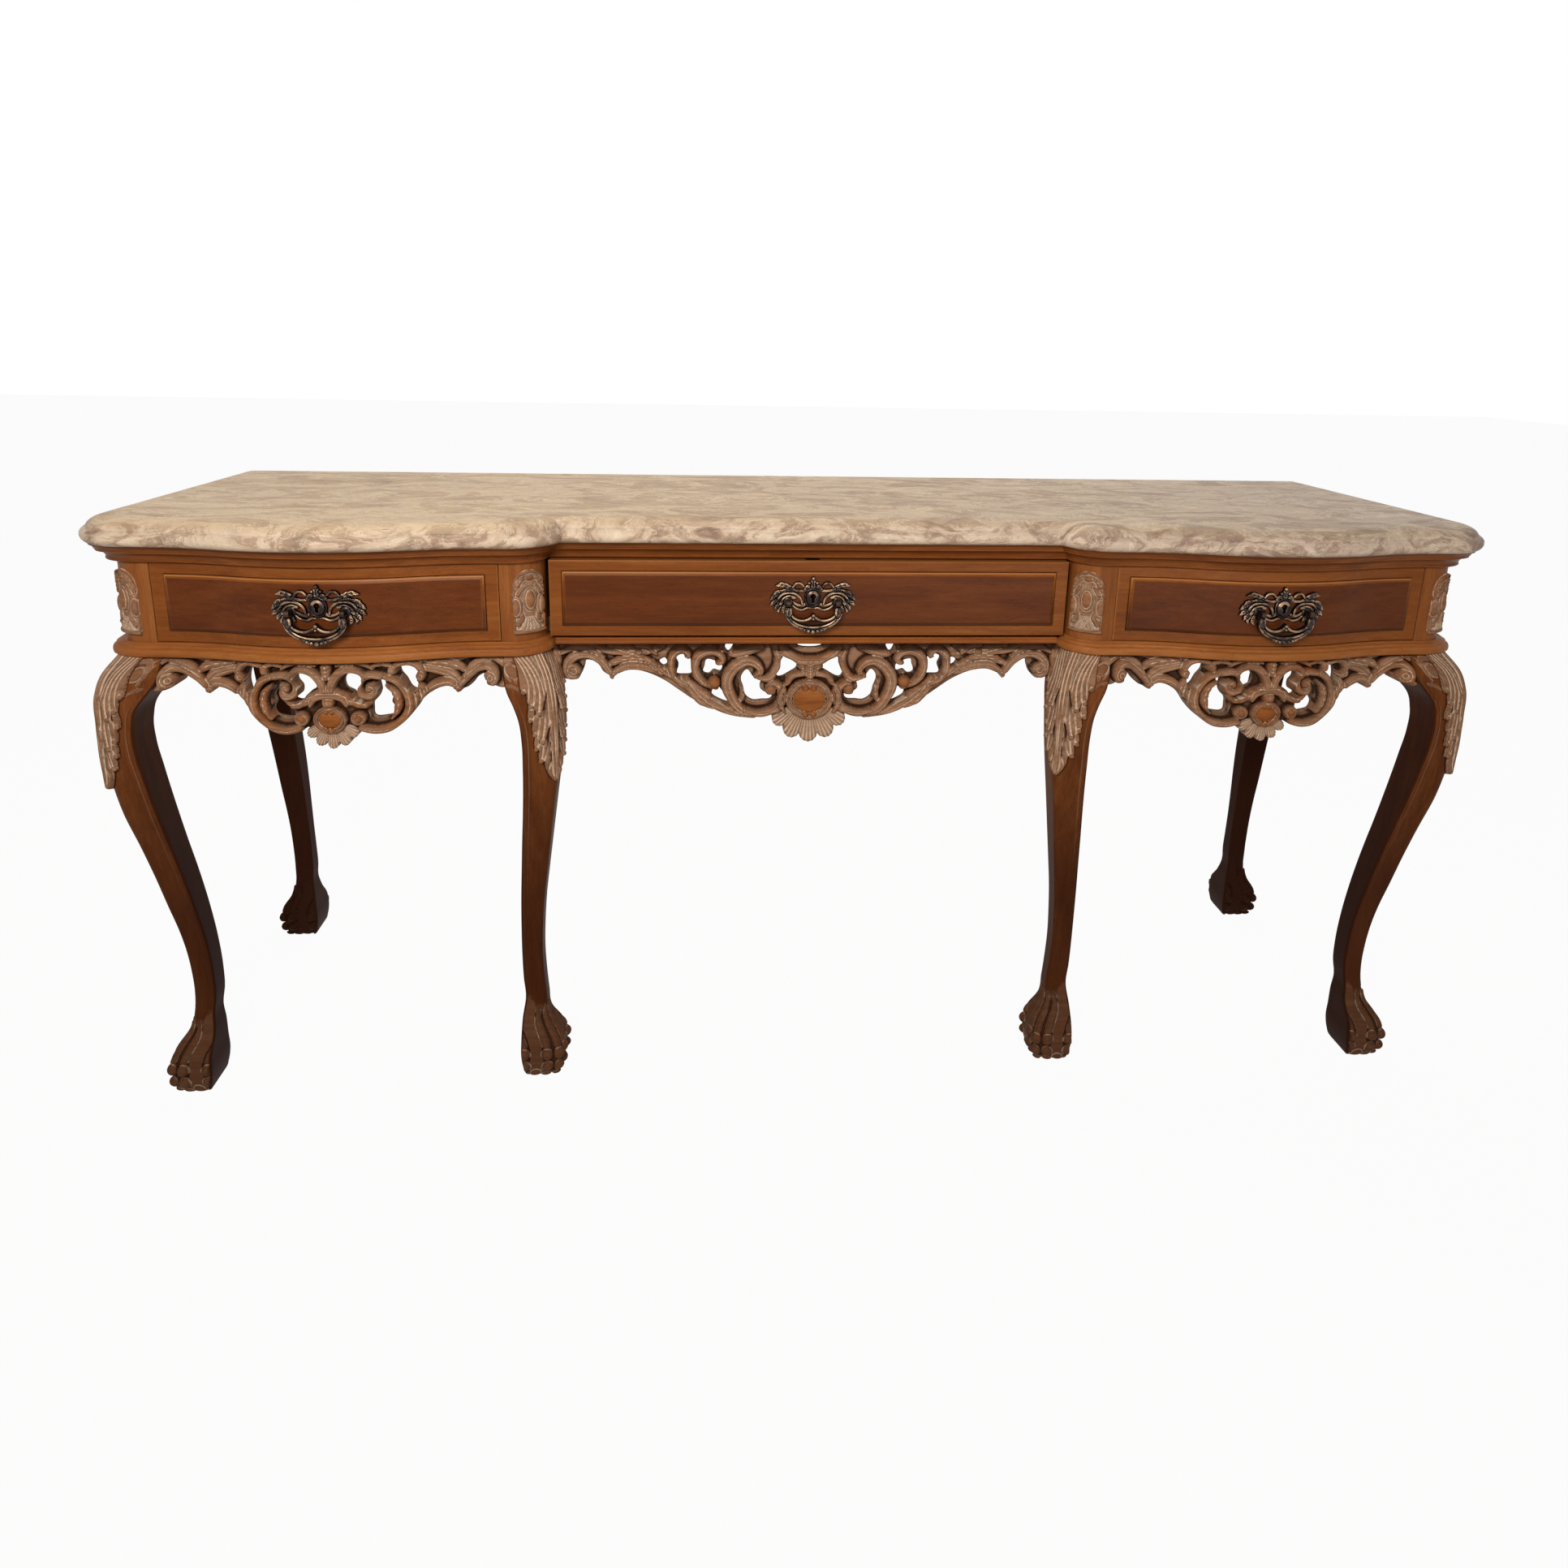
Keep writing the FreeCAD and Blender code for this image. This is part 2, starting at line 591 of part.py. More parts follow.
def ribbon(points, width, tip):
    """A tapering band along a smooth line of a front view."""
    curve = Part.BSplineCurve()
    curve.interpolate([V(h, 0, k) for h, k in points])
    first, last = curve.FirstParameter, curve.LastParameter
    count = 2 * len(points)
    left = []
    right = []
    for step in range(count + 1):
        share = step / count
        at = first + (last - first) * share
        along = curve.tangent(at)[0]
        across = V(-along.z, 0, along.x)
        half = width / 2.0 * (1.0 - (1.0 - tip) * share ** 2)
        point = curve.value(at)
        left.append(point + across * half)
        right.append(point - across * half)
    edges = [smooth(left), line(left[-1], right[-1]), smooth(right), line(right[0], left[0])]
    return Part.Wire(Part.__sortEdges__(edges))


def handle(name, x, face_y, wall, inside_y):
    """Pierced plate, posts with eyes and hinged bail, at a drawer face."""
    plate = through(loop(elevation(both_sides(plate_half), x, z_keyhole)), -depth_all, depth_all)
    piercings = [through(loop(elevation(hole, x, z_keyhole, side)), -depth_all, depth_all)
                 for hole in plate_holes for side in (-1.0, 1.0)]
    plate = plate.cut(piercings).common(wall)
    rim = Part.Ellipse(V(0, 0, 0), escutcheon_size[1], escutcheon_size[0]).toShape()
    boss = Part.Face(Part.Wire([rim])).extrude(V(0, 0, plate_thickness + escutcheon_size[2]))
    boss.rotate(V(0, 0, 0), V(1, 0, 0), 90)
    boss.rotate(V(0, 0, 0), V(0, 1, 0), 90)
    boss.translate(V(x, face_y, z_keyhole))
    z_pivot = z_keyhole - pivot_drop
    y_pivot = face_y - pivot_reach
    posts = []
    holes = []
    for side in (-1.0, 1.0):
        px = x + side * pivot_spread
        stem = Part.makeCylinder(post_diameter / 2.0, inside_y + nut_thickness + post_tail - y_pivot,
                                 V(px, y_pivot, z_pivot), V(0, 1, 0))
        eye = Part.makeCylinder(eye_diameter / 2.0, eye_width,
                                V(px - eye_width / 2.0, y_pivot, z_pivot), V(1, 0, 0))
        nut = Part.makeCylinder(nut_diameter / 2.0, nut_thickness, V(px, inside_y, z_pivot), V(0, 1, 0))
        bore = Part.makeCylinder(pin_diameter / 2.0 + pin_clearance, 4.0 * eye_width,
                                 V(px - 2.0 * eye_width, y_pivot, z_pivot), V(1, 0, 0))
        posts.append(merged([stem, eye, nut]).cut(bore))
        holes.append(stem)
    plate = merged([plate, boss]).cut(holes).cut(keyhole(x))
    rest_y = y_pivot - bail_thickness / 2.0
    outline = Part.Wire(Part.__sortEdges__([smooth(elevation(half, x, z_keyhole, side))
                                            for side in (-1.0, 1.0) for half in (bail_outer, bail_inner)]))
    pieces = [through(outline, rest_y, rest_y + bail_thickness)]
    for side in (-1.0, 1.0):
        band = ribbon([(x + side * h, z_keyhole + k) for h, k in bail_arm], bail_arm_width, 1.0)
        pieces.append(through(band, rest_y, rest_y + bail_thickness))
        far = eye_width / 2.0 + bail_side_gap
        for near in (-far - bail_ear_width, far):
            x0 = x + side * pivot_spread + near
            ear = Part.makeCylinder(bail_thickness / 2.0, bail_ear_width, V(x0, y_pivot, z_pivot), V(1, 0, 0))
            cheek = box(x0, x0 + bail_ear_width, rest_y, rest_y + bail_thickness,
                        z_pivot - bail_ear_drop, z_pivot)
            pieces.extend([ear, cheek])
        pin_half = far + bail_ear_width
        pieces.append(Part.makeCylinder(pin_diameter / 2.0, 2.0 * pin_half,
                                        V(x + side * pivot_spread - pin_half, y_pivot, z_pivot), V(1, 0, 0)))
    save("handle_plate_" + name, plate)
    save("handle_posts_" + name, *posts)
    save("bail_" + name, merged(pieces))
    return holes


def drawer(name, x, front, box_half, inside_y, wall, face_y):
    """Front, box, lock and handle of one drawer."""
    z_side = z_frieze + run_clearance
    z_bottom = z_side + drawer_bottom_rise
    y_end = inside_y + drawer_length
    bottom = box(x - box_half + side_thickness - groove_depth, x + box_half - side_thickness + groove_depth,
                 inside_y - groove_depth, y_end, z_bottom, z_bottom + drawer_bottom_thickness)
    sides = [box(x0, x0 + side_thickness, inside_y, y_end, z_side, z_side + side_height).cut(bottom)
             for x0 in (x - box_half, x + box_half - side_thickness)]
    inner_half = box_half - side_thickness
    back = box(x - inner_half, x + inner_half, y_end - drawer_back_thickness, y_end,
               z_bottom + drawer_bottom_thickness, z_side + side_height)
    lock_top = z_front_high - lock_lip
    lock = box(x - lock_width / 2.0, x + lock_width / 2.0, inside_y - lock_depth, inside_y,
               lock_top - lock_height, lock_top)
    bolt = box(x - bolt_width / 2.0, x + bolt_width / 2.0, inside_y - lock_depth, inside_y,
               lock_top, z_front_high)
    lock_body = merged([lock, bolt])
    holes = handle(name, x, face_y, wall, inside_y)
    save("drawer_front_" + name, front.cut([bottom, lock_body, keyhole(x)] + holes))
    save("drawer_sides_" + name, *sides)
    save("drawer_back_" + name, back)
    save("drawer_bottom_" + name, bottom)
    save("lock_" + name, lock_body.cut(keyhole(x)))


z_field_low = z_front_low + field_margin_bottom
z_field_high = z_front_high - field_margin_top


def field_steps(make_wall, x, half):
    """The bevel of the raised panel as two narrow steps."""
    pieces = []
    for share in (1.0, 2.0):
        rise = field_relief * share / 2.0
        inset = field_margin_side + field_bevel * (share - 1.0)
        lift = field_bevel * (share - 1.0)
        window = box(x - half + inset, x + half - inset, -depth_all, depth_all,
                     z_field_low + lift, z_field_high - lift)
        pieces.append(make_wall(rise).common(window))
    return pieces


def bow_wall(rise):
    return bow_strip(0.0, rise, z_front_low, z_front_high)


def flat_wall(rise):
    face = y_centre - front_thickness
    return box(-centre_front_half, centre_front_half, face - rise, face, z_front_low, z_front_high)


bow_face = Part.Wire(bow_edges(0.0) + [
    line(V(x_joint_outer, y_front, 0), V(x_joint_outer, y_front + front_thickness, 0)),
    line(V(x_joint_outer, y_front + front_thickness, 0), V(x_joint_inner, y_front + front_thickness, 0)),
    line(V(x_joint_inner, y_front + front_thickness, 0), V(x_joint_inner, y_front, 0))])
bow_board = prism(bow_face, z_front_high - z_front_low, z_front_low)
gap_trim = box(x_pavilion - pavilion_front_half, x_pavilion + pavilion_front_half, -depth_all, depth_all,
               z_front_low, z_front_high)
bow_front = merged([bow_board.common(gap_trim)] + field_steps(bow_wall, x_pavilion, pavilion_front_half))
flat_board = box(-centre_front_half, centre_front_half, y_centre - front_thickness, y_centre,
                 z_front_low, z_front_high)
flat_front = merged([flat_board] + field_steps(flat_wall, 0.0, centre_front_half))
bow_plate = bow_strip(field_relief, field_relief + plate_thickness, z_board, z_marble)
flat_face = y_centre - front_thickness - field_relief
flat_plate = box(-centre_front_half, centre_front_half, flat_face - plate_thickness, flat_face,
                 z_board, z_marble)
bow_top = y_front - bow_rise - field_relief
y_inside = y_front + front_thickness
drawer("right", x_pavilion, bow_front, pavilion_box_half, y_inside, bow_plate, bow_top)
drawer("left", -x_pavilion, flipped(bow_front), pavilion_box_half, y_inside, flipped(bow_plate), bow_top)
drawer("centre", 0.0, flat_front, centre_box_half, y_centre, flat_plate, flat_face)


# Pierced aprons, drawn as half a front view down from the middle of their top edge
pavilion_sweep = (((56.0, -105.0), (76.0, -102.5), (95.0, -91.0), (112.0, -72.0), (130.0, -53.0),
                   (149.0, -45.0), (166.0, -53.5)),
                  ((180.0, -48.0), (192.0, -34.0), (203.0, -28.5), (210.0, -39.0), (219.0, -45.0),
                   (228.0, -48.0)))
pavilion_holes = (((19.0, -30.0), (28.0, -20.5), (42.0, -22.0), (42.5, -34.0), (39.0, -45.0),
                   (48.0, -57.5), (37.0, -57.0), (29.0, -47.0), (20.0, -40.0)),
                  ((66.0, -32.5), (71.0, -38.0), (78.5, -54.0), (79.0, -66.0), (80.5, -78.0),
                   (69.0, -84.5), (54.5, -82.5), (53.5, -72.0), (60.5, -58.0), (65.0, -47.0)),
                  ((91.0, -15.5), (105.0, -14.5), (112.5, -26.0), (113.0, -41.0), (108.5, -48.0),
                   (98.0, -31.0)))
pavilion_bands = (((55.0, -23.0), (72.0, -22.0), (88.0, -29.0), (98.0, -44.0), (101.0, -63.0),
                   (95.0, -81.0), (80.0, -93.0), (58.0, -96.0)),
                  ((85.0, -15.0), (100.0, -7.0), (114.0, -10.0), (121.0, -23.0)),
                  ((2.0, -54.0), (6.0, -34.0), (15.0, -18.0), (28.0, -12.0), (42.0, -16.0)),
                  ((124.0, -50.0), (140.0, -38.0), (155.0, -34.0), (168.0, -43.0)),
                  ((168.0, -42.0), (181.0, -28.0), (195.0, -16.0), (210.0, -14.0), (219.0, -27.0),
                   (217.0, -38.0)))
pavilion_discs = ((54.0, -38.0, 13.0), (37.5, -81.0, 10.0), (86.0, -16.0, 7.0), (120.0, -26.0, 8.5))
centre_sweep = (((78.0, -112.5), (101.0, -111.0), (125.0, -107.0), (150.0, -98.0), (172.0, -86.0),
                 (191.0, -72.0), (211.0, -58.0), (234.0, -46.5), (256.0, -41.0), (273.0, -43.0),
                 (284.7, -52.3)),
                ((299.0, -43.5), (304.5, -34.0), (314.0, -27.0), (324.0, -28.0), (328.0, -39.0),
                 (334.0, -50.0), (345.0, -56.0), (366.0, -53.0)))
centre_holes = (((41.0, -21.0), (22.0, -28.5), (19.5, -38.5), (30.0, -46.5), (46.0, -51.5), (44.0, -36.0)),
                ((91.5, -43.0), (81.0, -54.0), (72.5, -61.0), (70.0, -74.0), (56.0, -79.0), (60.0, -88.0),
                 (80.0, -90.0), (92.0, -83.0), (97.0, -68.0), (98.5, -54.0)),
                ((141.0, -72.0), (133.0, -69.0), (126.0, -79.0), (118.0, -90.5), (133.0, -87.0)),
                ((152.0, -33.0), (144.0, -27.0), (130.0, -34.0), (131.0, -44.0), (141.0, -43.0),
                 (152.0, -47.0)),
                ((192.0, -22.0), (180.0, -20.0), (174.0, -34.0), (174.0, -47.0), (184.0, -49.5),
                 (192.5, -44.0)),
                ((218.0, -29.0), (211.0, -24.5), (208.5, -32.0), (212.5, -35.5)))
centre_bands = (((60.0, -55.0), (45.0, -66.0), (43.0, -83.0), (55.0, -98.0), (76.0, -102.5),
                 (97.0, -95.0), (109.0, -77.0), (110.0, -53.0), (98.0, -33.0), (80.0, -26.0)),
                ((104.0, -101.0), (131.0, -95.0), (156.0, -83.0),
                 (177.0, -67.0), (193.0, -51.0), (200.0, -36.0)),
                ((150.0, -72.0), (164.0, -54.0), (166.0, -30.0), (154.0, -12.0), (136.0, -14.0)),
                ((42.0, -6.0), (30.0, -17.0), (14.0, -22.0), (0.0, -23.0)),
                ((216.0, -42.0), (242.0, -33.0), (266.0, -31.0), (286.0, -42.0)),
                ((286.0, -41.0), (300.0, -23.0), (320.0, -13.0), (340.0, -19.0), (346.0, -37.0),
                 (338.0, -47.0)))
centre_discs = ((58.0, -67.0, 11.0), (82.0, -39.0, 11.0), (138.0, -56.0, 8.5), (186.0, -12.0, 8.0),
                (247.0, -10.0, 6.0))


def apron_outline(half, sweep, cartouche, shell):
    """Scalloped shell in the middle, sweeping out on both sides to the legs."""
    middle = V(0, 0, cartouche[0])
    radius, spread, count = shell
    angles = [math.radians(-90.0 - spread + 2.0 * spread * k / count) for k in range(count + 1)]
    nodes = [middle + V(radius * math.cos(angle), 0, radius * math.sin(angle)) for angle in angles]
    edges = []
    for start, end in zip(nodes, nodes[1:]):
        chord = (start + end) / 2.0
        outward = (chord - middle).normalize()
        edges.append(Part.Arc(start, chord + outward * shell_scallop, end).toShape())
    last = nodes[-1]
    for run in sweep:
        points = [last] + [V(h, 0, k) for h, k in run]
        for side in (1.0, -1.0):
            edges.append(smooth([V(side * point.x, 0, point.z) for point in points]))
        last = points[-1]
    for side in (1.0, -1.0):
        edges.append(line(V(side * last.x, 0, last.z), V(side * half, 0, 0)))
    edges.append(line(V(-half, 0, 0), V(half, 0, 0)))
    return Part.Wire(Part.__sortEdges__(edges))


def drilled_disc(h, k, radius):
    return Part.makeCylinder(radius, 2.0 * depth_all, V(h, -depth_all, k), V(0, 1, 0))


def apron(place, half, sweep, holes, bands, discs, cartouche, shell, board, relief):
    """Pierced board with raised scrolls and cartouche, hung from its top edge at place."""
    body = through(apron_outline(half, sweep, cartouche, shell), -depth_all, depth_all)
    cuts = []
    raised = [drilled_disc(0.0, *cartouche)]
    for side in (1.0, -1.0):
        for hole in holes:
            cuts.append(through(loop(elevation(hole, side=side)), -depth_all, depth_all))
        for band in bands:
            wire = ribbon([(side * h, k) for h, k in band], band_width, band_tip)
            raised.append(through(wire, -depth_all, depth_all))
        for h, k, radius in discs:
            raised.append(drilled_disc(side * h, k, radius))
    pierced = body.cut(cuts)
    ornament = merged(raised).common(body)
    for shape in (pierced, ornament):
        shape.translate(place)
    return merged([pierced.common(board), ornament.common(relief)])


apron_low = z_board - apron_reach
apron_back = -apron_setback - apron_thickness
pavilion_board = bow_strip(apron_back, -apron_setback, apron_low, z_board)
pavilion_raise = bow_strip(-apron_setback, apron_relief - apron_setback, apron_low, z_board)
apron_right = apron(V(x_pavilion, 0, z_board), bow_half_span, pavilion_sweep, pavilion_holes, pavilion_bands,
                    pavilion_discs, pavilion_cartouche, pavilion_shell, pavilion_board, pavilion_raise)
apron_right = apron_right.cut([legs["leg_front_right"], legs["leg_inner_right"]])
save("apron_right", apron_right)
save("apron_left", flipped(apron_right))
apron_top = rail_top - centre_rail_height
apron_face = y_centre - centre_apron_forward
centre_board = box(-x_inner, x_inner, apron_face, apron_face + apron_thickness, apron_low, apron_top)
centre_raise = box(-x_inner, x_inner, apron_face - apron_relief, apron_face, apron_low, apron_top)
apron_centre = apron(V(0, 0, apron_top), x_inner, centre_sweep, centre_holes, centre_bands,
                     centre_discs, centre_cartouche, centre_shell, centre_board, centre_raise)
neighbours = [legs["leg_inner_left"], legs["leg_inner_right"], bottom_right, flipped(bottom_right)]
save("apron_centre", apron_centre.cut(neighbours))
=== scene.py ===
import math
import bpy
import numpy as np
from mathutils import Matrix, Vector


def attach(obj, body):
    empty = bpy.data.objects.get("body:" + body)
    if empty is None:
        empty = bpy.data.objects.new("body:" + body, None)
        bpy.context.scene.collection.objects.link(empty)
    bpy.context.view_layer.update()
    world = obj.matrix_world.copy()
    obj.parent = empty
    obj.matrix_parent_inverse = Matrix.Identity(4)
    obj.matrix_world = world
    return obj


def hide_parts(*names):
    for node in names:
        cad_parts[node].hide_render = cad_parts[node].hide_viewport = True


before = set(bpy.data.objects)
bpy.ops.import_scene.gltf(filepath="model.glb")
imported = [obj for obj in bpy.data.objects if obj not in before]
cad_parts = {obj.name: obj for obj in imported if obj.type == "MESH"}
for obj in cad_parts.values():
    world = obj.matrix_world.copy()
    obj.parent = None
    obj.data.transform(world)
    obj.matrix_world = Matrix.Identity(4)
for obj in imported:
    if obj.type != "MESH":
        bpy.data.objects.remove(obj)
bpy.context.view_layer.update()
MM = 0.001

# Sizes of the case in millimetres, as in the solids
Y_BACK = 262.0
Y_FRONT = -200.0
Y_CENTRE = -155.0
X_INNER = 376.0
X_OUTER = 944.0
X_PAVILION = 660.0
BOW_HALF = 228.0
BOW_RISE = 30.0
BOW_RADIUS = (BOW_HALF ** 2 + BOW_RISE ** 2) / (4.0 * BOW_RISE)
BOW_REACH = 200.0
CORNER = 42.0
STILE = 56.0
Z_BOARD = 690.0
Z_FRIEZE = 709.0
Z_CORNICE = 820.0
Z_MARBLE = 845.0
Z_KEYHOLE = 770.0


# Shares and smooth curves
def unit(value):
    """A value held between nought and one."""
    return np.clip(value, 0.0, 1.0)


def swell_at(value, middle, width):
    """A soft rise to one at the middle, of about the given half width."""
    return np.exp(-((value - middle) / width) ** 2)


def smooth_share(value, low, high):
    """Rises from nought to one between two values, level at both."""
    share = unit((value - low) / (high - low))
    return share * share * (3.0 - 2.0 * share)


def hermite(xs, ys, x):
    """Smooth value of a table at x."""
    xs = np.asarray(xs, float)
    ys = np.asarray(ys, float)
    slopes = np.gradient(ys, xs)
    i = np.clip(np.searchsorted(xs, x) - 1, 0, len(xs) - 2)
    span = xs[i + 1] - xs[i]
    t = unit((x - xs[i]) / span)
    a = (1 + 2 * t) * (1 - t) ** 2
    b = t * (1 - t) ** 2
    c = t * t * (3 - 2 * t)
    d = t * t * (t - 1)
    return a * ys[i] + b * span * slopes[i] + c * ys[i + 1] + d * span * slopes[i + 1]


def dense(points, step, closed=False):
    """A smooth line through points, sampled about every step."""
    p = np.asarray(points, float)
    if closed:
        p = np.vstack([p[-2:], p, p[:3]])
    chord = np.concatenate([[0.0], np.cumsum(np.linalg.norm(np.diff(p, axis=0), axis=1))])
    low, high = (chord[2], chord[-3]) if closed else (0.0, chord[-1])
    at = np.linspace(low, high, max(3, int((high - low) / step) + 1))
    if len(p) < 3:
        line = np.stack([np.interp(at, chord, p[:, i]) for i in range(p.shape[1])], 1)
    else:
        line = np.stack([hermite(chord, p[:, i], at) for i in range(p.shape[1])], 1)
    return line[:-1] if closed else line


# Pieces from points and faces
def piece(name, points, faces, body, material, replaces=(), sharp=32.0, values=None):
    """A mesh in millimetres on a body, in the place of the solids that it replaces."""
    mesh = bpy.data.meshes.new(name)
    mesh.from_pydata((np.asarray(points, float) * MM).tolist(), [], faces)
    mesh.validate()
    mesh.shade_smooth()
    mesh.set_sharp_from_angle(angle=math.radians(sharp))
    for key, field in (values or {}).items():
        mesh.attributes.new(key, "FLOAT", "POINT").data.foreach_set("value", np.asarray(field, np.float32))
    obj = bpy.data.objects.new(name, mesh)
    bpy.context.scene.collection.objects.link(obj)
    mesh.materials.append(material)
    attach(obj, body)
    if replaces:
        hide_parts(*replaces)


def pair(name, node, points, faces, material, sharp=32.0, values=None, sides=("_right", "_left")):
    """A piece of the table on the first side, and its mirror image on the other side."""
    for side, made, order in zip(sides, (points, mirrored(points)), (faces, turned(faces))):
        piece(name + side, made, order, "table", material, [node + side] if node else (), sharp,
              values)


def grid_faces(rows, cols, wrap=False):
    """Quads of a grid of points stored row by row."""
    last = cols if wrap else cols - 1
    i, j = np.meshgrid(np.arange(rows - 1), np.arange(last), indexing="ij")
    k = (j + 1) % cols
    quads = np.stack([i * cols + j, i * cols + k, (i + 1) * cols + k, (i + 1) * cols + j], -1)
    return quads.reshape(-1, 4).tolist()


def mirrored(points):
    """Points on the other side of the table."""
    return np.asarray(points, float) * np.array([-1.0, 1.0, 1.0])


def turned(faces):
    """Faces that look the other way."""
    return [face[::-1] for face in faces]


# Procedural materials
class Graph:
    """A material with short calls for the nodes that it needs."""

    def __init__(self, name):
        self.mat = bpy.data.materials.new(name)
        self.mat.use_nodes = True
        self.tree = self.mat.node_tree
        self.tree.nodes.clear()
        out = self.tree.nodes.new("ShaderNodeOutputMaterial")
        self.shader = self.tree.nodes.new("ShaderNodeBsdfPrincipled")
        self.tree.links.new(self.shader.outputs[0], out.inputs[0])
        self.object = self.node("TexCoord").outputs["Object"]

    def node(self, kind, inputs=None, **settings):
        made = self.tree.nodes.new("ShaderNode" + kind)
        for key, value in settings.items():
            setattr(made, key, value)
        for key, value in (inputs or {}).items():
            self.put(made.inputs[key], value)
        return made

    def put(self, socket, value):
        if isinstance(value, bpy.types.NodeSocket):
            self.tree.links.new(value, socket)
        else:
            socket.default_value = value

    def coords(self, scale, turn=(0.0, 0.0, 0.0), vector=None):
        source = self.object if vector is None else vector
        return self.node("Mapping", {"Vector": source, "Scale": scale, "Rotation": turn}).outputs[0]

    def noise(self, vector, scale, detail=4.0, rough=0.55, warp=0.0):
        return self.node("TexNoise", {"Vector": vector, "Scale": scale, "Detail": detail,
                                      "Roughness": rough, "Distortion": warp}).outputs["Fac"]

    def ramp(self, fac, stops):
        made = self.node("ValToRGB", {"Fac": fac})
        band = made.color_ramp
        while len(band.elements) < len(stops):
            band.elements.new(0.5)
        for element, (at, colour) in zip(band.elements, stops):
            element.position = at
            element.color = (*colour, 1.0)
        return made.outputs["Color"]

    def level(self, fac, low, high, to_low=0.0, to_high=1.0):
        made = self.node("MapRange", {"Value": fac, "From Min": low, "From Max": high, "To Min": to_low,
                                      "To Max": to_high})
        return made.outputs["Result"]

    def mix(self, fac, first, second):
        made = self.node("Mix", data_type="RGBA")
        for index, value in ((0, fac), (6, first), (7, second)):
            self.put(made.inputs[index], (*value, 1.0) if isinstance(value, tuple) else value)
        return made.outputs[2]

    def calc(self, operation, first, second):
        return self.node("Math", {0: first, 1: second}, operation=operation).outputs[0]

    def weighted(self, first, first_share, second, second_share):
        return self.calc("ADD", self.calc("MULTIPLY", first, first_share),
                         self.calc("MULTIPLY", second, second_share))

    def wash(self, colour, source, low, high, share, over):
        """Lays a colour over another as a value goes from low to high."""
        return self.mix(self.level(source, low, high, 0.0, share), colour, over)

    def sheen(self, source, low, high):
        """Roughness that drifts between two values."""
        return self.level(source, 0.3, 0.7, low, high)

    def attribute(self, name):
        return self.node("Attribute", attribute_name=name).outputs["Fac"]

    def bump(self, height, strength, distance):
        made = self.node("Bump", {"Height": height, "Strength": strength, "Distance": distance})
        self.put(self.shader.inputs["Normal"], made.outputs[0])

    def finish(self, colour, rough, **sockets):
        self.put(self.shader.inputs["Base Color"], colour)
        self.put(self.shader.inputs["Roughness"], rough)
        for key, value in sockets.items():
            self.put(self.shader.inputs[key.replace("_", " ")], value)
        return self.mat


GRAIN = {"x": (1.0, 11.0, 11.0), "y": (11.0, 1.0, 11.0), "z": (11.0, 11.0, 1.0)}
VARNISH_GLOSS, LEG_GLOSS, STONE_GLOSS = 0.10, 0.03, 0.05
# Painted shade in the deep gaps of the carving
GAP_SHADE = (0.036, 0.014, 0.007)
# Painted shade on the inner faces of the legs and in the deep parts of their carving
LEG_SHADE = (0.016, 0.005, 0.003)
# Painted shade in the quirk, the keyhole and the lower and side bevels of the drawer fronts
PANEL_SHADE = (0.02, 0.008, 0.004)
# Painted highlight on the upper bevel of the drawer fronts, and real wear on their outer edges
RUBBED_EDGE_AND_HIGHLIGHT = (0.56, 0.26, 0.085)
# Painted shade that darkens the legs towards their feet
LEG_LOW_SHADE = (0.036, 0.009, 0.003)


def wood_colour(g, tones, along, low_shade=None):
    """Colour, bump height and blotches of varnished wood with broad figure, fine grain and open pores, with
    painted shade that darkens it towards the bottom when a shade colour is given.
    """
    dark, middle, light = tones
    lengths = g.coords(GRAIN[along])
    figure = g.noise(lengths, 2.6, 4.0, 0.5, 0.9)
    grain = g.noise(lengths, 16.0, 7.0, 0.62, 0.3)
    pores = g.noise(lengths, 95.0, 3.0, 0.6)
    blotch = g.noise(g.object, 5.0, 3.0, 0.5)
    colour = g.ramp(g.weighted(figure, 0.55, grain, 0.45), ((0.30, dark), (0.50, middle), (0.72, light)))
    streak = g.level(pores, 0.56, 0.68)
    colour = g.mix(g.calc("MULTIPLY", streak, 0.45), colour, tuple(0.45 * c for c in dark))
    colour = g.wash(colour, blotch, 0.35, 0.75, 0.35, middle)
    # Painted shade: darker towards the bottom of the object, in place of light from above that falls off
    # lower down
    if low_shade:
        height = g.node("SeparateXYZ", {0: g.object}).outputs[2]
        colour = g.wash(colour, height, 0.62, 0.30, 0.75, low_shade)
    return colour, g.weighted(grain, 0.4, streak, -0.6), blotch


def wood(name, tones, along, rough=0.40):
    """Varnished wood."""
    g = Graph(name)
    colour, height, blotch = wood_colour(g, tones, along)
    g.bump(height, 0.12, 0.0006)
    return g.finish(colour, g.sheen(blotch, rough - 0.06, rough + 0.08), Specular_IOR_Level=VARNISH_GLOSS)


